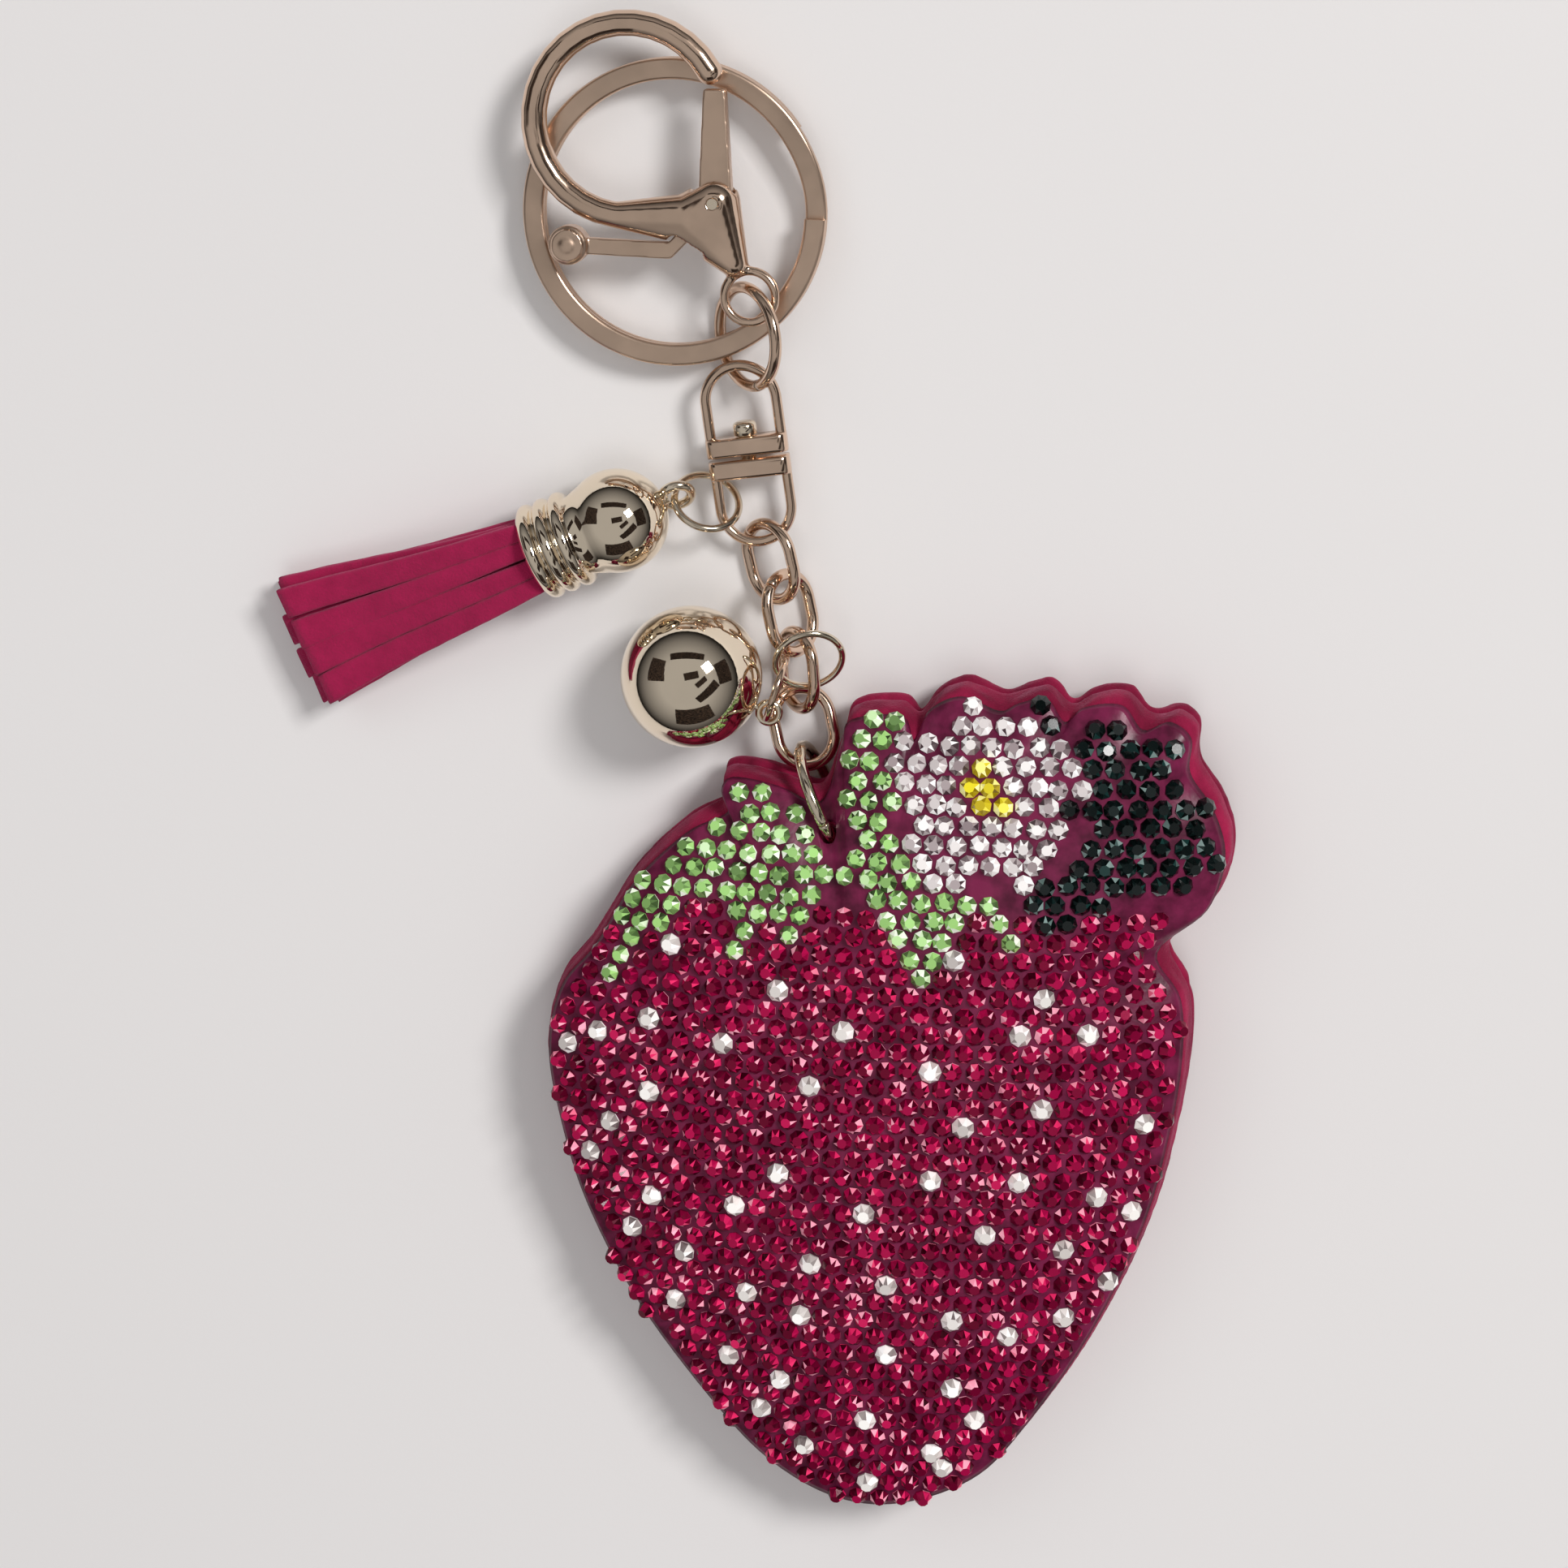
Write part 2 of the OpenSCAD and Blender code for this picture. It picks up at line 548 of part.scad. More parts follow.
module slot() {
    half = lever_w / 2 + 0.15;
    reach = 6.4;
    translate([pivot[0], pivot[1], -slot_t / 2]) linear_extrude(slot_t) {
        circle(r = barrel_r + 0.2);
        polygon([polar(half, lever_turn - 90), polar(half, lever_turn - 90) + polar(reach, lever_turn),
            polar(half, lever_turn + gate_swing + 90) + polar(reach, lever_turn + gate_swing),
            polar(half, lever_turn + gate_swing + 90)]);
        polygon([polar(barrel_r, -2), [barrel_r, reach], polar(reach, 90 + gate_swing + 14),
            polar(barrel_r, 180)]);
    }
}
module clasp_body() {
    waist = [pivot[0] - 2.6, pivot[1] - 1.1];
    belly = [pivot[0] - 3.1, pivot[1] - 2.5];
    $fn = 32;
    color(gold) clasp_frame() difference() {
        union() {
            rotate([0, 0, HOOK_FROM]) rotate_extrude(angle = HOOK_TO - HOOK_FROM)
                translate([hook_mean, 0]) circle(d = hook_wire);
            rotate([0, 0, HOOK_FROM]) translate([hook_mean, 0, 0]) sphere(d = hook_wire);
            hull() {
                translate(hook_end) sphere(d = hook_wire, $fn = 24);
                translate(waist) sphere(r = cheek_r - 0.4, $fn = 24);
                translate(belly) sphere(r = 1.3, $fn = 24);
            }
            hull() {
                translate(waist) sphere(r = cheek_r - 0.4, $fn = 24);
                translate(belly) sphere(r = 1.3, $fn = 24);
                translate(pivot) sphere(r = cheek_r, $fn = 24);
                translate(root) sphere(r = 1.3, $fn = 24);
            }
            translate(-1 * hook_from_eye) wire_ring(eye_od, eye_wire);
        }
        slot();
        translate([pivot[0], pivot[1], -cheek_r]) cylinder(h = 2 * cheek_r, r = pin_r);
    }
}
spring_wire = 0.25;
spring_h = 0.55;
module clasp_gate() {
    tip = [hook_mean * cos(HOOK_FROM) + 0.5, hook_mean * sin(HOOK_FROM) - hook_wire / 2 - 0.3]
        - pivot;
    elbow = polar(lever_elbow, lever_turn);
    side = [0, lever_w / 2];
    color(pale_gold) clasp_frame() translate(pivot) difference() {
        union() {
            translate([0, 0, -gate_t / 2]) cylinder(h = gate_t, r = barrel_r);
            translate([0, 0, -gate_t / 2]) linear_extrude(gate_t)
                polygon([[-1.5, 0], [1.6, 0], [tip[0] + 1, tip[1]], [tip[0] - 1, tip[1]]]);
            translate([0, 0, -gate_t / 2 + 0.15]) linear_extrude(gate_t - 0.3)
                polygon([polar(lever_w / 2, lever_turn - 90), elbow + [-0.15, lever_w / 2],
                    thumb + side, thumb - side, elbow - side, polar(lever_w / 2, lever_turn + 90)]);
            translate([thumb[0], thumb[1], -thumb_t / 2]) cylinder(h = thumb_t, r = thumb_r);
            translate([thumb[0], thumb[1], -thumb_t / 2 - 0.3]) cylinder(h = thumb_t + 0.6, r = thumb_r - 0.35);
        }
        translate([0, 0, -gate_t]) cylinder(h = 2 * gate_t, r = pin_r + pin_fit);
        translate([0, 0, gate_t / 2 - spring_h]) cylinder(h = 2 * spring_h, r = pin_r + 0.55);
    }
}
module gate_pin() {
    color(pale_gold) clasp_frame() translate([pivot[0], pivot[1], -cheek_r + 0.15])
        cylinder(h = 2 * cheek_r - 0.3, r = pin_r);
}
module gate_spring() {
    color("silver") clasp_frame() translate([pivot[0], pivot[1], gate_t / 2 - spring_h / 2])
        for (z = [-0.11, 0.11]) translate([0, 0, z])
            wire_ring(2 * (pin_r + 0.42), spring_wire);
}

// ---------- Tassel ----------
module tassel_ring() {
    color(pale_gold) place(tassel_link, 0, tassel_ring_pitch, tassel_ring_roll)
        jump_ring(tassel_ring_od, tassel_ring_wire, 60);
}
// Local X runs from the head to the strips' ends
module tassel_frame() { translate(head) rotate([0, 0, tassel_turn]) children(); }
module along(length, r) { rotate([0, 90, 0]) cylinder(h = length, r = r); }
stem_r = 0.45;
stem_l = 2.5;
module tassel_eye() {
    rise = tassel_joint[2] - head[2];
    color(pale_gold) tassel_frame() {
        translate([-head_reach, 0, rise]) rotate([90 - tassel_ring_pitch, 0, 0])
            wire_ring(tassel_eye_od, tassel_eye_wire);
        translate([-head_r - 0.3, 0, rise]) along(stem_l, stem_r);
    }
}
collar_at = head_r - 0.6;
module tassel_cap() {
    ridges = 3;
    rise = tassel_joint[2] - head[2];
    ridge_r = collar_l / ridges / 2;
    color(pale_gold) tassel_frame() difference() {
        union() {
            sphere(r = head_r);
            translate([collar_at, 0, 0]) along(collar_l, collar_r - ridge_r / 2);
            for (k = [0 : ridges - 1]) translate([collar_at + (2 * k + 1) * ridge_r, 0, 0])
                rotate([0, 90, 0]) rotate_extrude()
                translate([collar_r - ridge_r, 0]) circle(r = ridge_r * 0.96);
        }
        translate([collar_at + 0.8, 0, 0]) along(collar_l + 2, collar_r - 1.1);
        translate([-head_r - 0.3, 0, rise]) along(stem_l + 0.1, stem_r);
        translate([-head_reach, 0, rise]) rotate([90 - tassel_ring_pitch, 0, 0])
            wire_ring(tassel_eye_od + 0.1, tassel_eye_wire + 0.1);
    }
}
core_r = collar_r - 1.15;
module tassel_core() {
    color(suede) tassel_frame() translate([collar_at + 0.85, 0, 0]) along(collar_l - 0.9, core_r);
}
// Suede strips in flat layers that fan out and droop to the table
STRIP_LAYERS = 4;
STRIPS_IN_LAYER = 4;
FAN = 12;
module strip(root_w, tip_w) {
    linear_extrude(strip_t) polygon([[0, -root_w / 2], [strip_l, -tip_w / 2],
        [strip_l, tip_w / 2], [0, root_w / 2]]);
}
module tassel_strips() {
    start = collar_at + collar_l;
    root_w = 2 * core_r * 0.86 / STRIPS_IN_LAYER - 0.08;
    tip_w = root_w + 2 * strip_l * tan(FAN / STRIPS_IN_LAYER / 2) * 0.9;
    color(suede) tassel_frame() for (j = [0 : STRIP_LAYERS - 1], i = [0 : STRIPS_IN_LAYER - 1]) {
        across = (i - (STRIPS_IN_LAYER - 1) / 2);
        layer_z = (j - STRIP_LAYERS / 2) * (strip_t + 0.08);
        drop = head_r + layer_z - 0.05 - j * (strip_t + 0.12);
        translate([start + 0.06, across * (root_w + 0.08), layer_z])
            rotate([0, asin(drop / strip_l) , across * FAN / STRIPS_IN_LAYER])
            strip(root_w, tip_w);
    }
}

// ---------- Ball ----------
module ball_jump_ring() {
    color(pale_gold) place(jump, 0, 29, 16) jump_ring(jump_od, jump_wire, 20);
}
module ball_loop() {
    color(gold) place(ball_loop_at, loop_turn, 0, loop_roll) wire_ring(loop_od, jump_wire);
}
module ball_frame() {
    translate(ball_eye_at) rotate([0, 0, ball_turn]) rotate([0, -ball_rise, 0]) children();
}
module ball_eye() {
    color(pale_gold) {
        ball_frame() wire_ring(ball_eye_od, ball_eye_wire);
        ball_frame() translate([ball_eye_od / 2 - ball_eye_wire / 2, 0, 0]) along(stem_l, 0.3);
    }
}
module ball() {
    color(pale_gold) difference() {
        translate(ball_centre) sphere(r = ball_r);
        ball_frame() along(ball_eye_od / 2 - ball_eye_wire / 2 + stem_l + 0.05, 0.3);
    }
}

front_cover();
back_cover();
stuffing();
stone_film();
seed_stones();
leaf_stones();
flower_stones();
flower_centre_stones();
dark_leaf_stones();
bail_ring();
chain_link_4();
chain_link_3();
chain_link_2();
chain_link_1();
swivel_lower_bow();
swivel_rivet();
swivel_upper_bow();
joiner_ring();
split_ring();
clasp_body();
clasp_gate();
gate_pin();
gate_spring();
tassel_ring();
tassel_eye();
tassel_cap();
tassel_core();
tassel_strips();
ball_jump_ring();
ball_loop();
ball_eye();
ball();
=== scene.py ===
"""Looks of a padded strawberry bag charm: stones, velvet, polished metal, suede and a studio."""
import math
import random

import bmesh
import bpy
import numpy as np
from bpy.props import FloatProperty, FloatVectorProperty, IntProperty, PointerProperty
from mathutils import Matrix, Vector
from mathutils.bvhtree import BVHTree


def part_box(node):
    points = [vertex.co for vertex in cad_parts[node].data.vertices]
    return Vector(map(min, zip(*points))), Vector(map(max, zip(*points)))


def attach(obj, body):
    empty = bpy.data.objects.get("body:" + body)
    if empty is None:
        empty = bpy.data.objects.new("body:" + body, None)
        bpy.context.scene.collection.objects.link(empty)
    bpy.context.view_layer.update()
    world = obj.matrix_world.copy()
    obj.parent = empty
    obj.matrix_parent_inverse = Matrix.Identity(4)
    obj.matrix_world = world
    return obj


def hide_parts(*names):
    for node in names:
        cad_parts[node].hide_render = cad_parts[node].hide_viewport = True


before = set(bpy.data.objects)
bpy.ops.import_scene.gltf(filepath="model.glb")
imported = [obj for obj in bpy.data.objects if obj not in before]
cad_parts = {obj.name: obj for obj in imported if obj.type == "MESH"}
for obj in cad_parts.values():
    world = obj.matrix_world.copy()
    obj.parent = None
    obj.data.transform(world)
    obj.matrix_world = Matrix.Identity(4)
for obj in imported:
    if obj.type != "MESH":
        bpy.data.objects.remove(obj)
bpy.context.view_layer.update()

bl_info = {
    "name": "Strawberry Bag Charm",
    "version": (1, 0, 0),
    "blender": (4, 5, 0),
    "location": "3D View > Sidebar > Charm",
    "description": "Builds the charm's visible pieces round its packed frame",
    "category": "Object",
}

MM = 0.001

# ---------------------------------------------------------------- shape of the charm, in mm
OUTLINE = [
    (28.5, 16.5), (33, 20.8), (34.5, 26), (33.3, 30.5), (31, 34), (31, 37.3), (29, 38.8),
    (26.5, 38), (24.5, 40.3), (21, 40), (19.2, 38.6), (17.5, 40.7), (15, 40.3), (13, 39.5),
    (9.5, 40.8), (6.4, 39.4), (5, 36.6), (3.8, 38.8), (-1, 38.3), (-2, 36), (-3.2, 31.6),
    (-4.6, 30.3), (-8, 31.7), (-12.4, 32.4), (-13.6, 31), (-13, 29), (-17, 26.8), (-22.2, 21.7),
    (-26.1, 15.2), (-29.4, 11), (-30.8, 5), (-29.9, -2), (-27.2, -11.3), (-21.8, -21.8),
    (-14, -32.1), (-8.4, -37.6), (-2.1, -40.8), (4.2, -41), (11.2, -38.1), (16, -32.9),
    (22.6, -22.6), (27.7, -11.1), (30.1, -1.4), (31.1, 6), (30.8, 12),
]
CENTRE = (0, 4)
EDGE_STEPS = 7  # points of the smooth edge for each point above
RIM_INSET = 0.8  # from the edge to the rim of each half
SEAM_INSET = 0.6
SEAM_Z = 4.5
SEAM_HALF = 0.15  # half of the gap between the two halves
CROWN_POWER = 2.5
BACK_POWER = 6

# ---------------------------------------------------------------- layout of the stones, in mm
STONE_ROOM = 1.35  # least distance from a stone to the edge
FIELD_TOP = 20.5  # the field's stones end below this line
ROWS, COLUMNS = range(-28, 29), range(-22, 23)
CHANNEL_END, CHANNEL_HALF = -5.9, 1.75  # strip left bare for the charm's ring

GREEN_LEAVES = [
    (-13.5, 32), (-4.5, 30), (-2.5, 32), (-1.5, 37.5), (3.5, 37.5), (5, 32.5), (4, 28.5), (6, 23),
    (10, 22), (13.5, 21.5), (16, 18.5), (17, 14.5), (11, 20), (8.5, 19), (6.5, 10.5), (3.5, 18.5),
    (0, 22), (-2, 21.5), (-6, 16), (-8.5, 21), (-11, 14.5), (-13, 20.5), (-15.5, 19.5), (-24, 12),
    (-22.5, 20), (-19.5, 23.5), (-15.5, 26.5), (-11.5, 29),
]
DARK_LEAVES = [
    (14, 39.5), (17, 40), (20, 38), (23.5, 40), (25, 38), (29, 38), (30, 33.5), (33, 29.5),
    (33.5, 24), (28.5, 22), (25.5, 22.5), (23.5, 20), (17.5, 19), (14, 22.5), (18, 24),
    (21.5, 27.5), (19, 30.5), (20.5, 33.5), (17, 37),
]
FLOWER = (11.5, 31.5)
PETAL_REACH = 5.8
PETAL_R = 3.9
FLOWER_HEART_R = 2.6
SEEDS = [
    (-21.5, 16), (-17.5, 15.5), (-7.5, 12.5), (8.5, 16), (18, 12), (-24.5, 7.5), (-19, 9),
    (-12, 6.5), (-1, 8.5), (14.5, 9), (21.5, 8), (-28.5, 4.5), (-20.5, 1.5), (-4, 3.5), (7, 4.5),
    (17, 1.5), (27, 0), (-23.5, -1.5), (-7, -4.5), (11, -0.5), (-25.5, -6), (-18.5, -8),
    (-12, -8), (0, -8), (6.5, -5.5), (15.5, -5), (22, -7), (-22.5, -12), (-5, -14.5), (4, -15.5),
    (13, -11.5), (19.5, -12.5), (25.5, -8.5), (-16.5, -15), (-9.5, -18.5), (-5.5, -20),
    (9.5, -19), (14.5, -21), (19.5, -19), (23, -16.5), (-18, -19), (-11.5, -25), (-6.5, -27.5),
    (2.5, -22.5), (8.5, -27), (11.5, -30), (18.5, -26), (-10, -29.5), (-5, -34), (1, -31),
    (6.5, -33.5), (0.5, -37), (9, -36),
]

# Places of the hardware at rest: centre, then turn about Z, pitch about X and roll about Y
BAIL = ((-4, 29.3, 5.52), 24, 0, 90)
LINKS = {
    "chain_link_1": (13, 0, -38),
    "chain_link_2": (12, 0, 56),
    "chain_link_3": (4, 0, -51),
    "chain_link_4": (14, -12, 32),
}
JOINER_TILT = (6, 0, -48)
SWIVEL_TURN = 7.5
SWIVEL_PITCH = 3
TASSEL_RING_TILT = (0, -47, 18)
TASSEL_TURN = 203
JUMP_TILT = (0, 29, 16)
LOOP_TILT = (-18, 0, 93)
BALL_TURN = 155


# ---------------------------------------------------------------- sizes and colours to change
def size_field(label, about, default, digits=4):
    """A length on the panel, its default given in mm"""
    return FloatProperty(name=label, description=about, default=default * MM, unit="LENGTH",
                         precision=digits)


def colour_field(label, about, default):
    """A colour on the panel"""
    return FloatVectorProperty(name=label, description=about, subtype="COLOR", default=default,
                               min=0, max=1)


class CharmSizes(bpy.types.PropertyGroup):
    """Sizes of the padded charm and its stones"""

    rim_z: size_field("Rim height", "Height of the front rim above the table", 8.3)
    crown: size_field("Crown", "How far the front crowns above its rim", 4.4)
    back_lift: size_field("Back lift", "How far the back curves up at its edge", 1.9)
    puff: size_field("Puff", "Most that the filling may push a seam's wall out", 0.7)
    stone_pitch: size_field("Stone pitch", "Distance between neighbouring stones", 2.05, 5)
    stone_width: size_field("Stone width", "Width of one stone across its girdle", 2.0, 5)
    stone_height: size_field("Stone height", "Height of one stone", 0.95, 5)
    seed: IntProperty(name="Seed", description="Seed of the small differences between stones",
                      default=7, min=1)


class CharmColours(bpy.types.PropertyGroup):
    """Colours of the charm's materials"""

    velvet: colour_field("Velvet", "Colour of the velvet", (0.25, 0.008, 0.045))
    suede: colour_field("Suede", "Colour of the tassel's strips", (0.36, 0.012, 0.07))
    gold: colour_field("Rose gold", "Colour of the polished metal", (0.80, 0.59, 0.45))
    pale_gold: colour_field("Pale gold", "Colour of the paler metal", (0.88, 0.76, 0.60))
    field: colour_field("Field stones", "Colour of the stones on the fruit", (0.38, 0.004, 0.06))
    leaf: colour_field("Leaf stones", "Colour of the green stones", (0.23, 0.42, 0.13))
    floor: colour_field("Floor", "Colour of the studio floor", (0.79, 0.772, 0.772))


# ---------------------------------------------------------------- modelling by hand
def deselect_all():
    """Leaves edit mode and selects nothing, so the next operator acts on its own piece only"""
    if bpy.context.object and bpy.context.object.mode != "OBJECT":
        bpy.ops.object.mode_set(mode="OBJECT")
    bpy.ops.object.select_all(action="DESELECT")


def take(piece):
    """Makes one piece the selected and active one"""
    deselect_all()
    piece.select_set(True)
    bpy.context.view_layer.objects.active = piece


def edit(piece, *steps):
    """Runs edit-mode operators on all of a piece"""
    take(piece)
    bpy.ops.object.mode_set(mode="EDIT")
    bpy.ops.mesh.select_all(action="SELECT")
    for step in steps:
        step()
    bpy.ops.object.mode_set(mode="OBJECT")


def loft(name, loops, ring=False, capped=True):
    """Shapes a grid into a skin through loops of points, each loop closed on itself"""
    rows = [list(loop) for loop in loops] + ([list(loops[0])] if ring else [])
    across = len(rows[0])
    deselect_all()
    bpy.ops.mesh.primitive_grid_add(x_subdivisions=across, y_subdivisions=len(rows) - 1, size=2)
    piece = bpy.context.object
    piece.name = piece.data.name = name
    for vertex in piece.data.vertices:
        column = round((vertex.co.x + 1) / 2 * across) % across
        row = round((vertex.co.y + 1) / 2 * (len(rows) - 1))
        vertex.co = rows[row][column]
    edit(piece, lambda: bpy.ops.mesh.remove_doubles(threshold=1e-7))
    if capped and not ring:
        edit(piece, lambda: bpy.ops.mesh.fill_holes(sides=0))
    edit(piece, lambda: bpy.ops.mesh.normals_make_consistent(inside=False))
    bpy.ops.object.shade_smooth()
    return piece


def circle_points(centre, first, second, radius, sides):
    """Points of a circle about a centre, in the plane of two unit vectors"""
    return [centre + radius * (math.cos(a) * first + math.sin(a) * second)
            for a in (2 * math.pi * k / sides for k in range(sides))]


def wire_loops(path, radii, ring=False, sides=20):
    """Loops of a round wire along a flat path in the XY plane, its free ends rounded over"""
    loops = []
    count = len(path)
    up = Vector((0, 0, 1))
    for k, point in enumerate(path):
        before = path[k - 1] if ring or k else point
        after = path[(k + 1) % count] if ring or k + 1 < count else point
        along = (after - before).normalized()
        side = up.cross(along)
        radius = radii[k] if isinstance(radii, (list, tuple)) else radii
        round_over = [(0.0, 1.0)]
        if not ring and k == 0:
            round_over = [(-0.55, 0.35), (-0.45, 0.7), (-0.25, 0.92), (0.0, 1.0)]
        if not ring and k == count - 1:
            round_over = [(0.0, 1.0), (0.25, 0.92), (0.45, 0.7), (0.55, 0.35)]
        for shift, share in round_over:
            loops.append(circle_points(point + along * shift * radius * 0.3, side, up,
                                       radius * share, sides))
    return loops


def arc(centre, radius, start, end, steps):
    """Points of an arc in the XY plane, angles in degrees"""
    return [centre + radius * Vector((math.cos(a), math.sin(a), 0))
            for a in (math.radians(start + (end - start) * k / steps) for k in range(steps + 1))]


def about(axis, degrees):
    """A turn about one axis"""
    return Matrix.Rotation(math.radians(degrees), 4, axis)


def tilt(turn, pitch, roll):
    """Rolls about Y, then pitches about X, then turns about Z"""
    return about("Z", turn) @ about("X", pitch) @ about("Y", roll)


def put(piece, at, turning=None):
    """Moves a piece's mesh to its place and leaves its object at the origin"""
    piece.data.transform(Matrix.Translation(at) @ (turning or Matrix.Identity(4)))
    piece.data.update()


def middle(node):
    """The middle of a CAD node's box"""
    low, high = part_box(node)
    return (Vector(low) + Vector(high)) / 2


def apply_modifier(piece, kind, **settings):
    """Adds one modifier with its settings and applies it"""
    take(piece)
    modifier = piece.modifiers.new(kind.title(), kind)
    for key, value in settings.items():
        setattr(modifier, key, value)
    bpy.ops.object.modifier_apply(modifier=modifier.name)


def subdivide_smooth(piece, levels=1):
    """Applies a subdivision surface"""
    apply_modifier(piece, "SUBSURF", levels=levels, render_levels=levels)


def join(pieces, name):
    """Joins pieces into the first one"""
    deselect_all()
    for piece in pieces:
        piece.select_set(True)
    bpy.context.view_layer.objects.active = pieces[0]
    bpy.ops.object.join()
    pieces[0].name = pieces[0].data.name = name
    return pieces[0]


def node_copy(node, name):
    """A merged copy of a CAD node's mesh, as a new piece"""
    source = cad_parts[node]
    piece = bpy.data.objects.new(name, source.data.copy())
    bpy.context.scene.collection.objects.link(piece)
    piece.data.materials.clear()
    edit(piece, lambda: bpy.ops.mesh.remove_doubles(threshold=1e-6))
    return piece


def finish_piece(piece, body, material, nodes=()):
    """Gives a piece its material, its body and the CAD nodes it stands for"""
    piece.data.materials.clear()
    piece.data.materials.append(material)
    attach(piece, body)
    if nodes:
        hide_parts(*nodes)
    return piece


# ---------------------------------------------------------------- materials
class Shader:
    """A new material and the nodes that feed its surface"""

    def __init__(self, name, **sockets):
        self.material = bpy.data.materials.new(name)
        self.material.use_nodes = True
        self.nodes = self.material.node_tree.nodes
        self.links = self.material.node_tree.links
        self.surface = self.nodes["Principled BSDF"]
        for key, value in sockets.items():
            label = key.replace("_", " ")
            if isinstance(value, tuple) and len(value) == 3:
                value = (*value, 1)
            self.surface.inputs[label].default_value = value

    def node(self, kind, **settings):
        made = self.nodes.new(kind)
        for key, value in settings.items():
            if key in made.inputs.keys():
                made.inputs[key].default_value = value
            else:
                setattr(made, key, value)
        return made

    def link(self, source, target):
        self.links.new(source, target)

    def place(self):
        return self.node("ShaderNodeTexCoord").outputs["Object"]

    def noise(self, scale, detail=3.0, roughness=0.55, stretch=None):
        """A noise pattern on the piece's own coordinates, with its scale per metre"""
        source = self.place()
        if stretch:
            mapping = self.node("ShaderNodeMapping")
            mapping.inputs["Scale"].default_value = stretch
            self.link(source, mapping.inputs["Vector"])
            source = mapping.outputs["Vector"]
        texture = self.node("ShaderNodeTexNoise", Scale=scale, Detail=detail, Roughness=roughness)
        self.link(source, texture.inputs["Vector"])
        return texture.outputs["Fac"]

    def ramp(self, source, stops, smooth=True):
        """Colours along a factor; stops are (place, colour)"""
        ramp = self.node("ShaderNodeValToRGB")
        ramp.color_ramp.interpolation = "LINEAR" if smooth else "CONSTANT"
        while len(ramp.color_ramp.elements) < len(stops):
            ramp.color_ramp.elements.new(0.5)
        for element, (spot, colour) in zip(ramp.color_ramp.elements, stops):
            element.position = spot
            element.color = (*colour, 1) if len(colour) == 3 else colour
        self.link(source, ramp.inputs["Fac"])
        return ramp.outputs["Color"]

    def colour(self, output):
        self.link(output, self.surface.inputs["Base Color"])

    def rough(self, source, low, high):
        spread = self.node("ShaderNodeMapRange")
        spread.inputs["To Min"].default_value = low
        spread.inputs["To Max"].default_value = high
        self.link(source, spread.inputs["Value"])
        self.link(spread.outputs["Result"], self.surface.inputs["Roughness"])

    def bump(self, heights, strength=0.5, distance=0.0001):
        """Bumps from one or more (height, share) patterns"""
        total = None
        for source, share in heights:
            scaled = self.node("ShaderNodeMath", operation="MULTIPLY")
            self.link(source, scaled.inputs[0])
            scaled.inputs[1].default_value = share
            if total is None:
                total = scaled.outputs[0]
            else:
                added = self.node("ShaderNodeMath", operation="ADD")
                self.link(total, added.inputs[0])
                self.link(scaled.outputs[0], added.inputs[1])
                total = added.outputs[0]
        bump = self.node("ShaderNodeBump", Strength=strength, Distance=distance)
        self.link(total, bump.inputs["Height"])
        self.link(bump.outputs["Normal"], self.surface.inputs["Normal"])


def shade(colour, factor):
    """A colour made darker or lighter"""
    return tuple(min(1.0, c * factor) for c in colour)


def mixed(colour, other, share):
    """A colour part of the way to another"""
    return tuple(a + (b - a) * share for a, b in zip(colour, other))


MATERIALS = {}


def material(name):
    """The named material, made once"""
    if name not in MATERIALS:
        MATERIALS[name] = MAKERS[name](bpy.context.scene.charm_colours)
    return MATERIALS[name]


def make_velvet(colours):
    base = tuple(colours.velvet)
    m = Shader("velvet", Roughness=0.85, Sheen_Weight=0.3, Sheen_Roughness=0.38,
               Sheen_Tint=(0.95, 0.35, 0.55), Specular_IOR_Level=0.15)
    brushed = m.noise(220, 4, 0.6, (1, 0.6, 1))
    m.colour(m.ramp(brushed, [(0.3, shade(base, 0.55)), (0.52, base), (0.72, shade(base, 1.5))]))
    m.bump([(m.noise(5200, 2), 0.7), (m.noise(1300, 3), 0.4)], 0.55, 0.00022)
    return m.material


def make_suede(colours):
    base = tuple(colours.suede)
    m = Shader("suede", Roughness=0.95, Sheen_Weight=0.35, Sheen_Roughness=0.5,
               Sheen_Tint=(0.95, 0.4, 0.6), Specular_IOR_Level=0.1)
    nap = m.noise(420, 5, 0.65)
    m.colour(m.ramp(nap, [(0.3, shade(base, 0.86)), (0.52, base), (0.75, shade(base, 1.12))]))
    m.bump([(m.noise(3800, 4, 0.7), 0.8), (m.noise(900, 3), 0.5)], 0.7, 0.0003)
    return m.material


def make_metal(name, base, rough, darker=0.82):
    """Polished plated metal with faint wear and fine scratches"""
    m = Shader(name, Metallic=1.0, Roughness=rough)
    m.colour(m.ramp(m.noise(160, 3), [(0.35, shade(base, darker)), (0.65, base)]))
    m.rough(m.noise(900, 4, 0.6), rough * 0.8, rough * 1.25)
    m.bump([(m.noise(300, 2), 0.6), (m.noise(9000, 2, 0.5, (1, 0.08, 1)), 0.25)], 0.07, 0.00006)
    return m.material


def make_film(colours):
    base = mixed(tuple(colours.velvet), (0.25, 0.05, 0.2), 0.25)
    m = Shader("clear_film", Roughness=0.35, Specular_IOR_Level=0.2, Coat_Weight=0.08,
               Coat_Roughness=0.15)
    m.colour(m.ramp(m.noise(420, 3), [(0.35, shade(base, 0.3)), (0.65, shade(base, 0.75))]))
    m.bump([(m.noise(650, 3), 1.0)], 0.3, 0.00025)
    return m.material


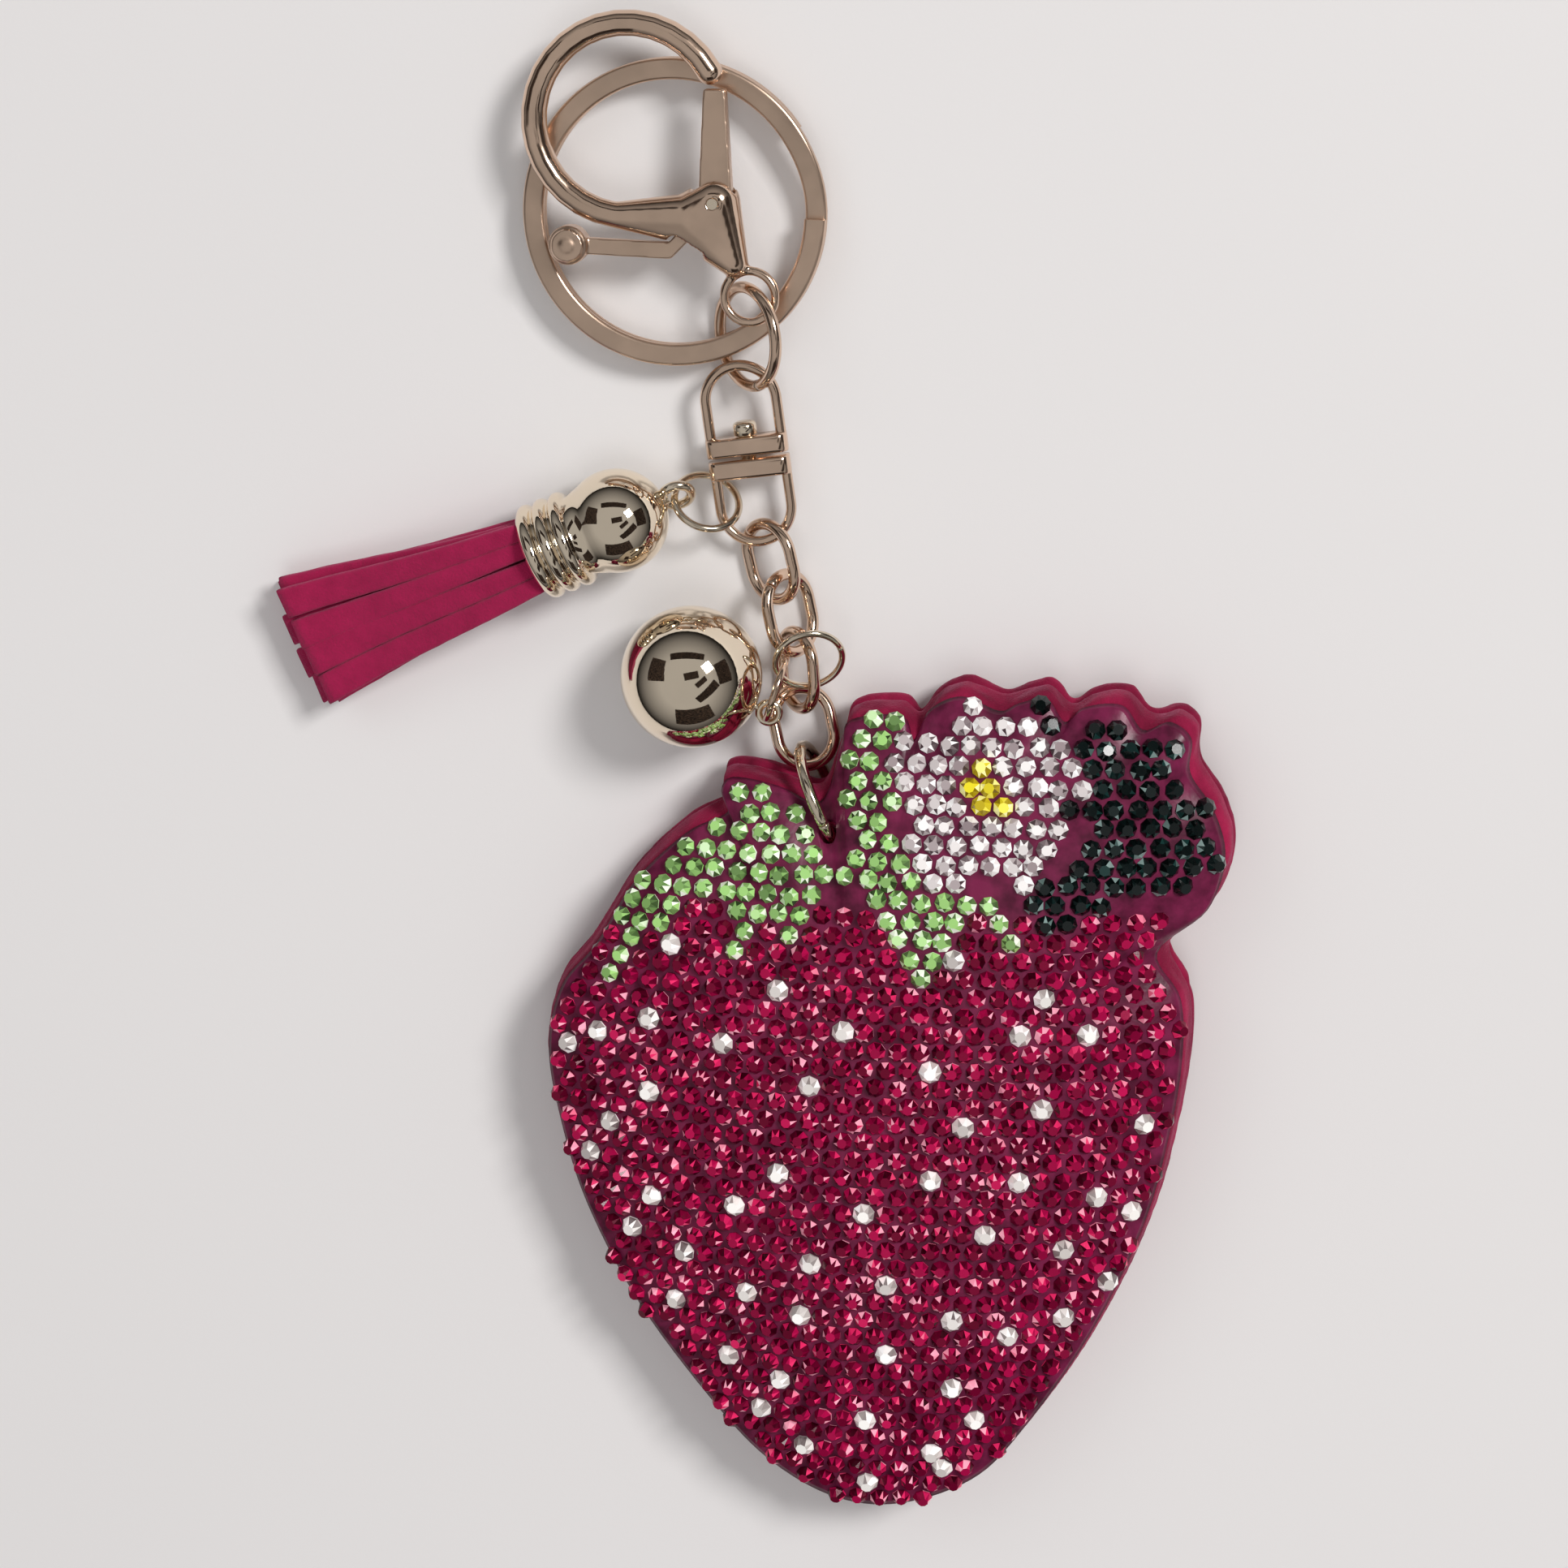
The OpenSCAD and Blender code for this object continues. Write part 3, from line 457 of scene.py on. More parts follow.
def make_stone(name, stops, specular=0.2, painted_glow=0.0):
    """Cut stones: each facet's colour comes from its painted light on the ramp, from painted
    shade to painted glints, and an emission of that colour adds a painted glow
    """
    m = Shader(name, Roughness=0.12, IOR=1.55, Specular_IOR_Level=specular)
    painted_facet_light = m.node("ShaderNodeAttribute", attribute_name="painted_facet_light").outputs["Fac"]
    # The ramp turns each facet's painted light into colour: painted shade, painted light and
    # painted glints
    lit = m.ramp(painted_facet_light, stops)
    m.colour(lit)
    # An emission of the same colour: a painted glow, the stones lighting themselves
    if painted_glow:
        m.link(lit, m.surface.inputs["Emission Color"])
        m.surface.inputs["Emission Strength"].default_value = painted_glow
    m.rough(m.noise(700, 2), 0.08, 0.18)
    return m.material


def make_filling(colours):
    m = Shader("filling", Roughness=0.9)
    m.colour(m.ramp(m.noise(300, 4), [(0.3, (0.7, 0.68, 0.63)), (0.7, (0.85, 0.83, 0.79))]))
    m.bump([(m.noise(1500, 4), 1.0)], 0.6, 0.0003)
    return m.material


def make_floor(colours):
    base = tuple(colours.floor)
    m = Shader("paper_floor", Roughness=0.75, Specular_IOR_Level=0.2)
    m.colour(m.ramp(m.noise(9, 2), [(0.3, shade(base, 0.985)), (0.7, base)]))
    m.bump([(m.noise(2500, 3), 1.0)], 0.06, 0.0001)
    return m.material


def make_card(colours):
    m = Shader("room_things", Roughness=0.9, Specular_IOR_Level=0.1)
    m.colour(m.ramp(m.noise(14, 2), [(0.4, (0.012, 0.011, 0.012)), (0.6, (0.07, 0.05, 0.04))]))
    return m.material


MAKERS = {
    "card": make_card,
    "velvet": make_velvet,
    "suede": make_suede,
    "film": make_film,
    "filling": make_filling,
    "floor": make_floor,
    "gold": lambda c: make_metal("rose_gold", tuple(c.gold), 0.13),
    "satin_gold": lambda c: make_metal("satin_rose_gold", shade(tuple(c.gold), 0.9), 0.3),
    "pale_gold": lambda c: make_metal("pale_gold", tuple(c.pale_gold), 0.12),
    "satin_pale_gold": lambda c: make_metal("satin_pale_gold", tuple(c.pale_gold), 0.26, 0.95),
    "mirror_gold": lambda c: make_metal("mirror_gold", tuple(c.pale_gold), 0.04, 0.95),
    "steel": lambda c: make_metal("spring_steel", (0.6, 0.6, 0.6), 0.25),
    # Stone ramps run from painted shade on the darkest facets to painted glints on the brightest;
    # the numbers after each ramp are the specular level and, where given, the painted glow
    "stone_field": lambda c: make_stone("field_stones", [
        (0.0, shade(tuple(c.field), 0.08)), (0.5, shade(tuple(c.field), 0.4)),
        (0.8, shade(tuple(c.field), 1.15)), (0.93, (0.85, 0.03, 0.15)), (1.0, (1, 0.42, 0.55))],
        0.12, 0.1),
    "stone_seed": lambda c: make_stone("seed_stones", [
        (0.0, (0.16, 0.13, 0.13)), (0.35, (0.5, 0.46, 0.44)), (0.7, (0.88, 0.85, 0.82)),
        (1.0, (1, 1, 1))], 0.5, 0.2),
    "stone_leaf": lambda c: make_stone("leaf_stones", [
        (0.0, shade(tuple(c.leaf), 0.1)), (0.35, shade(tuple(c.leaf), 0.65)),
        (0.7, shade(tuple(c.leaf), 1.7)), (1.0, (0.95, 1, 0.88))], 0.3, 0.15),
    "stone_clear": lambda c: make_stone("flower_stones", [
        (0.0, (0.05, 0.03, 0.035)), (0.3, (0.3, 0.24, 0.25)), (0.65, (0.8, 0.76, 0.75)),
        (1.0, (1, 1, 1))], 0.5, 0.2),
    "stone_yellow": lambda c: make_stone("heart_stones", [
        (0.0, (0.12, 0.07, 0.0)), (0.4, (0.45, 0.34, 0.01)), (0.75, (0.85, 0.74, 0.03)),
        (1.0, (1, 0.98, 0.45))], 0.3, 0.2),
    "stone_dark": lambda c: make_stone("dark_stones", [
        (0.0, (0.001, 0.002, 0.002)), (0.75, (0.004, 0.009, 0.009)), (0.92, (0.012, 0.05, 0.045)),
        (1.0, (0.3, 0.42, 0.4))], 0.35),
}


# ---------------------------------------------------------------- charm geometry
def smooth_outline():
    """The silhouette as a closed smooth curve through its points"""
    points = []
    count = len(OUTLINE)
    for i in range(count):
        a, b, c, d = (Vector(OUTLINE[(i + k) % count]) for k in (-1, 0, 1, 2))
        for k in range(EDGE_STEPS):
            t = k / EDGE_STEPS
            points.append(0.5 * (2 * b + (c - a) * t + (2 * a - 5 * b + 4 * c - d) * t * t
                                 + (3 * b - a - 3 * c + d) * t * t * t))
    return points


EDGE = smooth_outline()
MIDDLE = Vector(CENTRE)


def ring_of(inset, share, z):
    """A loop of the charm in metres: moved in from the edge, shrunk to the middle, at a height"""
    loop = []
    for point in EDGE:
        out = point - MIDDLE
        at = MIDDLE + out * ((out.length - inset) / out.length * share)
        loop.append(Vector((at.x * MM, at.y * MM, z)))
    return loop


def crown_height(share):
    """Height of the front at a share of the way from its middle to its rim"""
    sizes = bpy.context.scene.charm_sizes
    return sizes.rim_z + sizes.crown * (1 - share ** CROWN_POWER)


def inside(point, polygon):
    """Whether a plan point lies in a polygon"""
    hit = False
    for (ax, ay), (bx, by) in zip(polygon, polygon[1:] + polygon[:1]):
        if (ay > point[1]) != (by > point[1]):
            if point[0] < (bx - ax) * (point[1] - ay) / (by - ay) + ax:
                hit = not hit
    return hit


EDGE_LIST = [tuple(p) for p in EDGE]


def room_to_edge(point):
    """How far a plan point lies inside the silhouette; negative outside"""
    nearest = min((p - point).length for p in EDGE)
    return nearest if inside(point, EDGE_LIST) else -nearest


def seed_cells(pitch, row):
    """The stone nearest to each seed's place, as its column and row"""
    cells = set()
    for x, y in SEEDS:
        j = round(y / row)
        cells.add((round(x / pitch - (0 if j % 2 == 0 else 0.5)), j))
    return cells


PETALS = [Vector((FLOWER[0] + PETAL_REACH * math.cos(a), FLOWER[1] + PETAL_REACH * math.sin(a)))
          for a in (math.radians(90 + 72 * k) for k in range(5))]


def stone_kind(point, i, j, cells):
    """Which colour of stone belongs at a plan point"""
    heart = (point - Vector(FLOWER)).length
    petal = min((point - p).length for p in PETALS)
    if heart < FLOWER_HEART_R:
        return "yellow"
    if petal < PETAL_R or heart < PETAL_REACH:
        return "clear"
    if inside(point, DARK_LEAVES):
        return "dark"
    if inside(point, GREEN_LEAVES):
        return "leaf"
    return "seed" if (i, j) in cells else "field"


# Cloth that a little pressure blows up, and how many frames it gets
CLOTH = {"vertex_group_mass": "held", "use_pressure": True, "uniform_pressure_force": 4.0,
         "quality": 4, "tension_stiffness": 18, "bending_stiffness": 1.0}
CLOTH_FRAMES = 20
CLOTH_SCALE = 20.0


def points_of(piece):
    """A piece's points, one to a row"""
    points = np.empty(len(piece.data.vertices) * 3)
    piece.data.vertices.foreach_get("co", points)
    return points.reshape(-1, 3)


def puffed(piece, pinned, voxel, reach):
    """Fills a closed cover with air as a cloth, and limits how far its points move"""
    scale = CLOTH_SCALE
    take(piece)
    piece.data.transform(Matrix.Scale(scale, 4))
    apply_modifier(piece, "REMESH", mode="VOXEL", voxel_size=voxel * scale, use_smooth_shade=True)
    start = points_of(piece)
    held = piece.vertex_groups.new(name="held")
    for index, point in enumerate(start):
        if pinned(Vector(point) / scale):
            held.add([index], 1.0, "REPLACE")
    cloth = piece.modifiers.new("Cloth", "CLOTH")
    for key, value in CLOTH.items():
        setattr(cloth.settings, key, value)
    cloth.settings.effector_weights.gravity = 0
    cloth.point_cache.frame_start = 1
    cloth.point_cache.frame_end = CLOTH_FRAMES
    for number in range(1, CLOTH_FRAMES + 1):
        bpy.context.scene.frame_set(number)
    take(piece)
    bpy.ops.object.modifier_apply(modifier=cloth.name)
    shift = points_of(piece) - start
    length = np.linalg.norm(shift, axis=1, keepdims=True)
    shift *= np.minimum(1.0, reach * scale / np.maximum(length, 1e-9))
    piece.data.vertices.foreach_set("co", (start + shift).ravel())
    bpy.context.scene.frame_set(1)
    piece.vertex_groups.clear()
    piece.data.transform(Matrix.Scale(1 / scale, 4))
    piece.data.update()


def bail_cutter():
    """The ring-shaped channel that the charm's ring passes through"""
    deselect_all()
    bpy.ops.mesh.primitive_torus_add(major_segments=64, minor_segments=20, major_radius=4.95 * MM,
                                     minor_radius=0.95 * MM)
    cutter = bpy.context.object
    put(cutter, Vector(BAIL[0]) * MM, tilt(*BAIL[1:]))
    return cutter


def cut_bail(piece):
    """Cuts the ring's channel out of a piece"""
    cutter = bail_cutter()
    apply_modifier(piece, "BOOLEAN", operation="DIFFERENCE", object=cutter, solver="EXACT")
    bpy.data.objects.remove(cutter)


# ---------------------------------------------------------------- operators
class CHARM_OT_pads(bpy.types.Operator):
    """Makes the two padded velvet halves, seamed together round their edge"""

    bl_idname = "charm.pads"
    bl_label = "Velvet halves"

    def execute(self, context):
        sizes = context.scene.charm_sizes
        rim, lift = sizes.rim_z, sizes.back_lift
        seam_top, seam_low = (SEAM_Z + SEAM_HALF) * MM, (SEAM_Z - SEAM_HALF) * MM
        shares = (0.02, 0.15, 0.3, 0.45, 0.6, 0.72, 0.82, 0.9, 0.96)
        front = [ring_of(RIM_INSET, s, crown_height(s)) for s in shares]
        front += [ring_of(RIM_INSET, 1, rim), ring_of(0.45, 1, rim - 0.15 * MM),
                  ring_of(0.15, 1, rim - 0.5 * MM), ring_of(0, 1, rim - 1.0 * MM),
                  ring_of(0, 1, seam_top + 0.9 * MM), ring_of(0.2, 1, seam_top + 0.3 * MM),
                  ring_of(SEAM_INSET, 1, seam_top)]
        front += [ring_of(SEAM_INSET + 1, s, seam_top) for s in (1, 0.8, 0.5, 0.1)]
        back = [ring_of(SEAM_INSET + 1, s, seam_low) for s in (0.1, 0.5, 0.8, 1)]
        back += [ring_of(SEAM_INSET, 1, seam_low), ring_of(0.2, 1, seam_low - 0.3 * MM),
                 ring_of(0, 1, seam_low - 0.9 * MM), ring_of(0, 1, lift + 0.8 * MM),
                 ring_of(RIM_INSET / 2, 1, lift + 0.25 * MM), ring_of(RIM_INSET, 1, lift)]
        back += [ring_of(RIM_INSET, s, lift * s ** BACK_POWER) for s in reversed(shares)]
        front_pad = loft("front_pad", front)
        back_pad = loft("back_pad", back)
        flat = 0.25 * MM
        puffed(front_pad, lambda p: p.z < seam_top + flat, 0.55 * MM, sizes.puff)
        puffed(back_pad, lambda p: p.z > seam_low - flat or p.z < 0.5 * MM, 0.55 * MM, sizes.puff)
        for vertex in back_pad.data.vertices:
            vertex.co.z = max(vertex.co.z, 0)
        for pad in (front_pad, back_pad):
            apply_modifier(pad, "SMOOTH", factor=0.5, iterations=4)
            subdivide_smooth(pad)
            cut_bail(pad)
            take(pad)
            bpy.ops.object.shade_smooth()
        finish_piece(front_pad, "charm", material("velvet"), ["front_cover"])
        finish_piece(back_pad, "charm", material("velvet"), ["back_cover"])
        return {"FINISHED"}


def surface_of(piece):
    """A quick finder of the surface of a piece"""
    mesh = bmesh.new()
    mesh.from_mesh(piece.data)
    tree = BVHTree.FromBMesh(mesh)
    mesh.free()
    return tree


def drop_on(tree, x, y):
    """The height and lean of a surface under a plan point in metres"""
    hit, normal, _, _ = tree.ray_cast(Vector((x, y, 0.05)), Vector((0, 0, -1)))
    if hit is None:
        raise RuntimeError("no surface under a point of the charm")
    return hit, normal


class CHARM_OT_film(bpy.types.Operator):
    """Lays the clear film that backs the stones over the front's crown"""

    bl_idname = "charm.film"
    bl_label = "Clear film"

    def execute(self, context):
        tree = surface_of(bpy.data.objects["front_pad"])
        shares = (0.03, 0.2, 0.4, 0.55, 0.7, 0.8, 0.88, 0.94, 0.98)
        thick, gap = 0.3 * MM, 0.05 * MM

        def lying(share, lift):
            loop = []
            for point in ring_of(RIM_INSET, share, 0):
                hit, _, _, _ = tree.ray_cast(Vector((point.x, point.y, 0.05)), Vector((0, 0, -1)))
                high = max(hit.z if hit else 0, crown_height(share) - 0.3 * MM)
                loop.append(Vector((point.x, point.y, high + lift)))
            return loop

        loops = [lying(s, gap + thick) for s in shares]
        loops += [lying(0.992, gap + thick * 0.5)]
        loops += [lying(s, gap) for s in reversed(shares)]
        film = loft("film", loops)
        cut_bail(film)
        take(film)
        bpy.ops.object.shade_smooth()
        finish_piece(film, "charm", material("film"), ["stone_film"])
        return {"FINISHED"}


def cut_stone(width, height):
    """One flat-backed round stone: a girdle, a turned ring of facets and a table"""
    girdle = height * 0.22
    deselect_all()
    bpy.ops.mesh.primitive_cylinder_add(vertices=8, radius=width / 2, depth=girdle,
                                        location=(0, 0, girdle / 2))
    stone = bpy.context.object
    bpy.ops.object.transform_apply(location=True)
    mesh = bmesh.new()
    mesh.from_mesh(stone.data)
    top = max(mesh.faces, key=lambda f: f.calc_center_median().z)
    grown = bmesh.ops.extrude_face_region(mesh, geom=[top])
    bmesh.ops.delete(mesh, geom=[top], context="FACES_ONLY")
    ring = [v for v in grown["geom"] if isinstance(v, bmesh.types.BMVert)]
    turn = about("Z", 22.5) @ Matrix.Scale(0.52, 4)
    for vertex in ring:
        vertex.co = turn @ Vector((vertex.co.x, vertex.co.y, 0)) + Vector((0, 0, height))
    bmesh.ops.triangulate(mesh, faces=[f for f in mesh.faces if len(f.verts) == 4
                                       and f.calc_center_median().z > girdle])
    mesh.to_mesh(stone.data)
    mesh.free()
    return stone


class CHARM_OT_stones(bpy.types.Operator):
    """Sets the front with cut stones, a colour for each part of the picture"""

    bl_idname = "charm.stones"
    bl_label = "Stones"

    # Piece, CAD node it stands for, record slot, material and width beside the others
    KINDS = {
        "field": ("stones_field", None, None, "stone_field", 0.92),
        "seed": ("stones_seed", "seed_stones", "stone_seed", "stone_seed", 1.06),
        "leaf": ("stones_leaf", "leaf_stones", "stone_green", "stone_leaf", 0.94),
        "clear": ("stones_flower", "flower_stones", "stone_clear", "stone_clear", 0.96),
        "yellow": ("stones_heart", "flower_centre_stones", "stone_yellow", "stone_yellow", 0.96),
        "dark": ("stones_dark", "dark_leaf_stones", "stone_dark", "stone_dark", 0.98),
    }

    @staticmethod
    def painted_facet_lights(chance, faces):
        """Each facet's painted light: a mid-toned table, painted shade and painted light at
        random on the small facets, and a few painted glints among them
        """
        # Each stone's painted light is shifted as a whole, lighter or darker
        stone_light_shift = chance.uniform(-0.1, 0.14)
        painted_facet_lights = []
        for face in faces:
            small = len(face) < 5
            depth = chance.random() ** 1.3 if small else chance.uniform(0.3, 0.75)
            # A few small facets get a full painted glint
            if small and chance.random() < 0.08:
                depth = 1.0
            painted_facet_lights.append(min(1.0, max(0.0, depth + stone_light_shift)))
        return painted_facet_lights

    def execute(self, context):
        sizes = context.scene.charm_sizes
        chance = random.Random(sizes.seed)
        tree = surface_of(bpy.data.objects["film"])
        pitch = sizes.stone_pitch / MM
        row = pitch * math.sqrt(3) / 2
        notch = Vector(BAIL[0][:2])
        lean = math.radians(BAIL[1])
        cells = seed_cells(pitch, row)
        places = {kind: [] for kind in self.KINDS}
        for j in ROWS:
            for i in COLUMNS:
                point = Vector(((i + (0 if j % 2 == 0 else 0.5)) * pitch, j * row))
                if room_to_edge(point) < STONE_ROOM:
                    continue
                away = point - notch
                along = -away.x * math.sin(lean) + away.y * math.cos(lean)
                across = away.x * math.cos(lean) + away.y * math.sin(lean)
                if along > CHANNEL_END and abs(across) < CHANNEL_HALF:
                    continue
                kind = stone_kind(point, i, j, cells)
                if kind != "field" or point.y < FIELD_TOP:
                    places[kind].append(point)
        stone = cut_stone(sizes.stone_width, sizes.stone_height)
        base = np.array([v.co for v in stone.data.vertices])
        faces = [list(p.vertices) for p in stone.data.polygons]
        bpy.data.objects.remove(stone)
        for kind, (name, node, slot, look, wide) in self.KINDS.items():
            points, polygons, facets = [], [], []
            for point in places[kind]:
                loose = 0.07 if kind in ("field", "seed") else 0.15
                x = (point.x + chance.uniform(-loose, loose)) * MM
                y = (point.y + chance.uniform(-loose, loose)) * MM
                hit, normal = drop_on(tree, x, y)
                aim = (normal + 0.06 * Vector((chance.uniform(-1, 1), chance.uniform(-1, 1), 0)))
                spin = Matrix.Rotation(chance.uniform(0, 2 * math.pi), 3, "Z")
                turn = aim.to_track_quat("Z", "Y").to_matrix() @ spin
                size = wide * chance.uniform(0.97, 1.02)
                first = len(points)
                placed = (np.array(turn) @ (base * size).T).T + np.array(hit - normal * 0.1 * MM)
                points.extend(placed.tolist())
                polygons.extend([[first + v for v in face] for face in faces])
                # Each facet's painted light, for its stone's colour ramp
                facets.extend(self.painted_facet_lights(chance, faces))
            mesh = bpy.data.meshes.new(name)
            mesh.from_pydata(points, [], polygons)
            # Stores each facet's painted light for the stone's material
            mesh.attributes.new("painted_facet_light", "FLOAT", "FACE").data.foreach_set("value", facets)
            mesh.update()
            piece = bpy.data.objects.new(name, mesh)
            context.scene.collection.objects.link(piece)
            finish_piece(piece, "charm", material(look), [node] if node else [])
        return {"FINISHED"}


def cut_ring(name, outer, wire, cut_at, steps=96):
    """A round wire ring with the fine cut where it was closed"""
    mean = (outer - wire) / 2
    gap = math.degrees(0.05 / mean)
    path = arc(Vector(), mean * MM, cut_at + gap, cut_at + 360 - gap, steps)
    return loft(name, wire_loops(path, wire / 2 * MM))


def oval_link(name, length, width, wire, cut_at=130):
    """A stadium-shaped chain link with its cut on one end"""
    mean = (width - wire) / 2
    side = length / 2 - wire / 2 - mean
    gap = math.degrees(0.09 / mean)
    low, high = Vector((0, -side * MM, 0)), Vector((0, side * MM, 0))
    path = arc(high, mean * MM, cut_at + gap, 180, 12)
    path += [Vector((-mean * MM, y * MM, 0)) for y in np.linspace(side, -side, 8)[1:-1]]
    path += arc(low, mean * MM, 180, 360, 36)
    path += [Vector((mean * MM, y * MM, 0)) for y in np.linspace(-side, side, 8)[1:-1]]
    path += arc(high, mean * MM, 0, cut_at - gap, 26)
    return loft(name, wire_loops(path, wire / 2 * MM, sides=24))


class CHARM_OT_chain(bpy.types.Operator):
    """Makes the ring through the charm and the four chain links"""

    bl_idname = "charm.chain"
    bl_label = "Chain"

    def execute(self, context):
        ring = cut_ring("bail", 11, 1.1, 200)
        put(ring, Vector(BAIL[0]) * MM, tilt(*BAIL[1:]))
        finish_piece(ring, "bail", material("pale_gold"), ["bail_ring"])
        for node, angles in LINKS.items():
            link = oval_link(node + "_wire", 8.4, 6.8, 1.12)
            put(link, middle(node), tilt(*angles))
            body = node.replace("chain_", "")
            finish_piece(link, body, material("gold"), [node])
        return {"FINISHED"}


def rounded_rect(width, depth, corner, steps=4):
    """Points of a rounded rectangle in a plane, as pairs"""
    points = []
    for sx, sy, start in ((1, 1, 0), (-1, 1, 90), (-1, -1, 180), (1, -1, 270)):
        for k in range(steps + 1):
            a = math.radians(start + 90 * k / steps)
            points.append((sx * (width / 2 - corner) + corner * math.cos(a),
                           sy * (depth / 2 - corner) + corner * math.sin(a)))
    return points


def bow_piece(name, length, wire, width=7.6, band_length=1.7, band_depth=2.4, gap=0.2):
    """A swivel bow: a bent wire whose legs end in a band"""
    mean = (width - wire) / 2
    leg = length - wire / 2 - mean
    foot = gap + band_length * 0.6
    path = [Vector((mean * MM, y * MM, 0)) for y in np.linspace(foot, leg, 10)]
    path += arc(Vector((0, leg * MM, 0)), mean * MM, 0, 180, 40)[1:]
    path += [Vector((-mean * MM, y * MM, 0)) for y in np.linspace(leg, foot, 10)[1:]]
    bow = loft(name + "_bow", wire_loops(path, wire / 2 * MM, sides=24))
    loops = []
    swells = ((0, 0.86), (0.08, 0.96), (0.2, 1), (0.5, 1.03), (0.8, 1), (0.92, 0.96), (1, 0.86))
    for y, swell in swells:
        section = rounded_rect(width * (0.96 + 0.04 * swell), band_depth * swell, 0.9 * swell, 5)
        loops.append([Vector((x * MM, (gap + y * band_length) * MM, z * MM)) for x, z in section])
    band = loft(name + "_band", loops)
    return join([bow, band], name)


class CHARM_OT_swivel(bpy.types.Operator):
    """Makes the swivel's two bows and the rivet that they turn on"""

    bl_idname = "charm.swivel"
    bl_label = "Swivel"

    def execute(self, context):
        turning = tilt(SWIVEL_TURN, SWIVEL_PITCH, 0)
        gap_to_middle = 0.71
        origin = middle("swivel_rivet") - turning @ Vector((0, gap_to_middle * MM, 0))
        upper = bow_piece("swivel_upper_wire", 9.0, 1.0)
        put(upper, origin, turning)
        finish_piece(upper, "swivel_upper", material("gold"), ["swivel_upper_bow"])
        lower = bow_piece("swivel_lower_wire", 8.58, 0.96)
        put(lower, origin, turning @ about("Z", 180))
        finish_piece(lower, "swivel_lower", material("gold"), ["swivel_lower_bow"])
        profile = [(-1.9, 0.3), (-1.9, 0.7), (2.0, 0.7), (2.02, 1.0), (2.1, 1.1), (2.9, 1.1),
                   (3.15, 1.0), (3.3, 0.7), (3.34, 0.25)]
        rivet = turned("rivet", profile, 40)
        put(rivet, origin, turning @ about("Z", 90))
        finish_piece(rivet, "swivel_lower", material("pale_gold"), ["swivel_rivet"])
        return {"FINISHED"}


def turned(name, profile, sides):
    """A round piece turned about X from (along, radius) pairs in mm"""
    first, second = Vector((0, 1, 0)), Vector((0, 0, 1))
    return loft(name, [circle_points(Vector((x * MM, 0, 0)), first, second, r * MM, sides)
                       for x, r in profile])


class CHARM_OT_rings(bpy.types.Operator):
    """Makes the joining ring and the flat two-coil split ring"""

    bl_idname = "charm.rings"
    bl_label = "Rings"

    def execute(self, context):
        joiner = cut_ring("joiner_wire", 10.2, 1.1, 285)
        put(joiner, middle("joiner_ring"), tilt(*JOINER_TILT))
        finish_piece(joiner, "joiner", material("gold"), ["joiner_ring"])
        low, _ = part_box("split_ring")
        centre = middle("split_ring")
        coil, gap = 0.95, 0.04
        step = coil + gap
        mean, band = 13.0, 2.0
        section = rounded_rect(band, coil, 0.36, 4)
        loops = []
        # Two turns of a flat coil, with the step from one to the next after the first
        for degrees in np.arange(34, 719, 3.0):
            ramp = min(1.0, max(0.0, (degrees - 358) / 34))
            rise = step * (3 * ramp ** 2 - 2 * ramp ** 3) + (0.03 if degrees > 392 else 0.0)
            a = math.radians(degrees)
            out = Vector((math.cos(a), math.sin(a), 0))
            loops.append([out * (mean + x) * MM + Vector((0, 0, (coil / 2 + rise + z) * MM))
                          for x, z in section])
        split = loft("split_coils", loops)
        put(split, Vector((centre.x, centre.y, low[2])))
        bpy.ops.object.shade_smooth_by_angle(angle=math.radians(40))
        finish_piece(split, "split_ring", material("satin_gold"), ["split_ring"])
        return {"FINISHED"}


def cast(node, name, voxel, rounds, knob=None):
    """A smooth cast copy of a CAD node with soft edges, and its knob if it has one"""
    piece = node_copy(node, name)
    if knob:
        deselect_all()
        bpy.ops.mesh.primitive_uv_sphere_add(segments=40, ring_count=24, radius=knob[1],
                                             location=knob[0])
        ball = bpy.context.object
        bpy.ops.object.transform_apply(location=True)
        piece = join([piece, ball], name)
    apply_modifier(piece, "REMESH", mode="VOXEL", voxel_size=voxel, use_smooth_shade=True)
    apply_modifier(piece, "SMOOTH", factor=0.5, iterations=rounds)
    take(piece)
    bpy.ops.object.shade_smooth()
    return piece


class CHARM_OT_clasp(bpy.types.Operator):
    """Makes the cast hook and its sprung gate"""

    bl_idname = "charm.clasp"
    bl_label = "Clasp"

    def execute(self, context):
        body = cast("clasp_body", "clasp_cast", 0.16 * MM, 12)
        finish_piece(body, "clasp", material("gold"), ["clasp_body"])
        low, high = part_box("clasp_gate")
        thumb = Vector((low[0] + 1.8 * MM, low[1] + 1.8 * MM, (low[2] + high[2]) / 2))
        gate = cast("clasp_gate", "gate_cast", 0.13 * MM, 8, (thumb, 1.68 * MM))
        finish_piece(gate, "gate", material("satin_gold"), ["clasp_gate"])
        return {"FINISHED"}


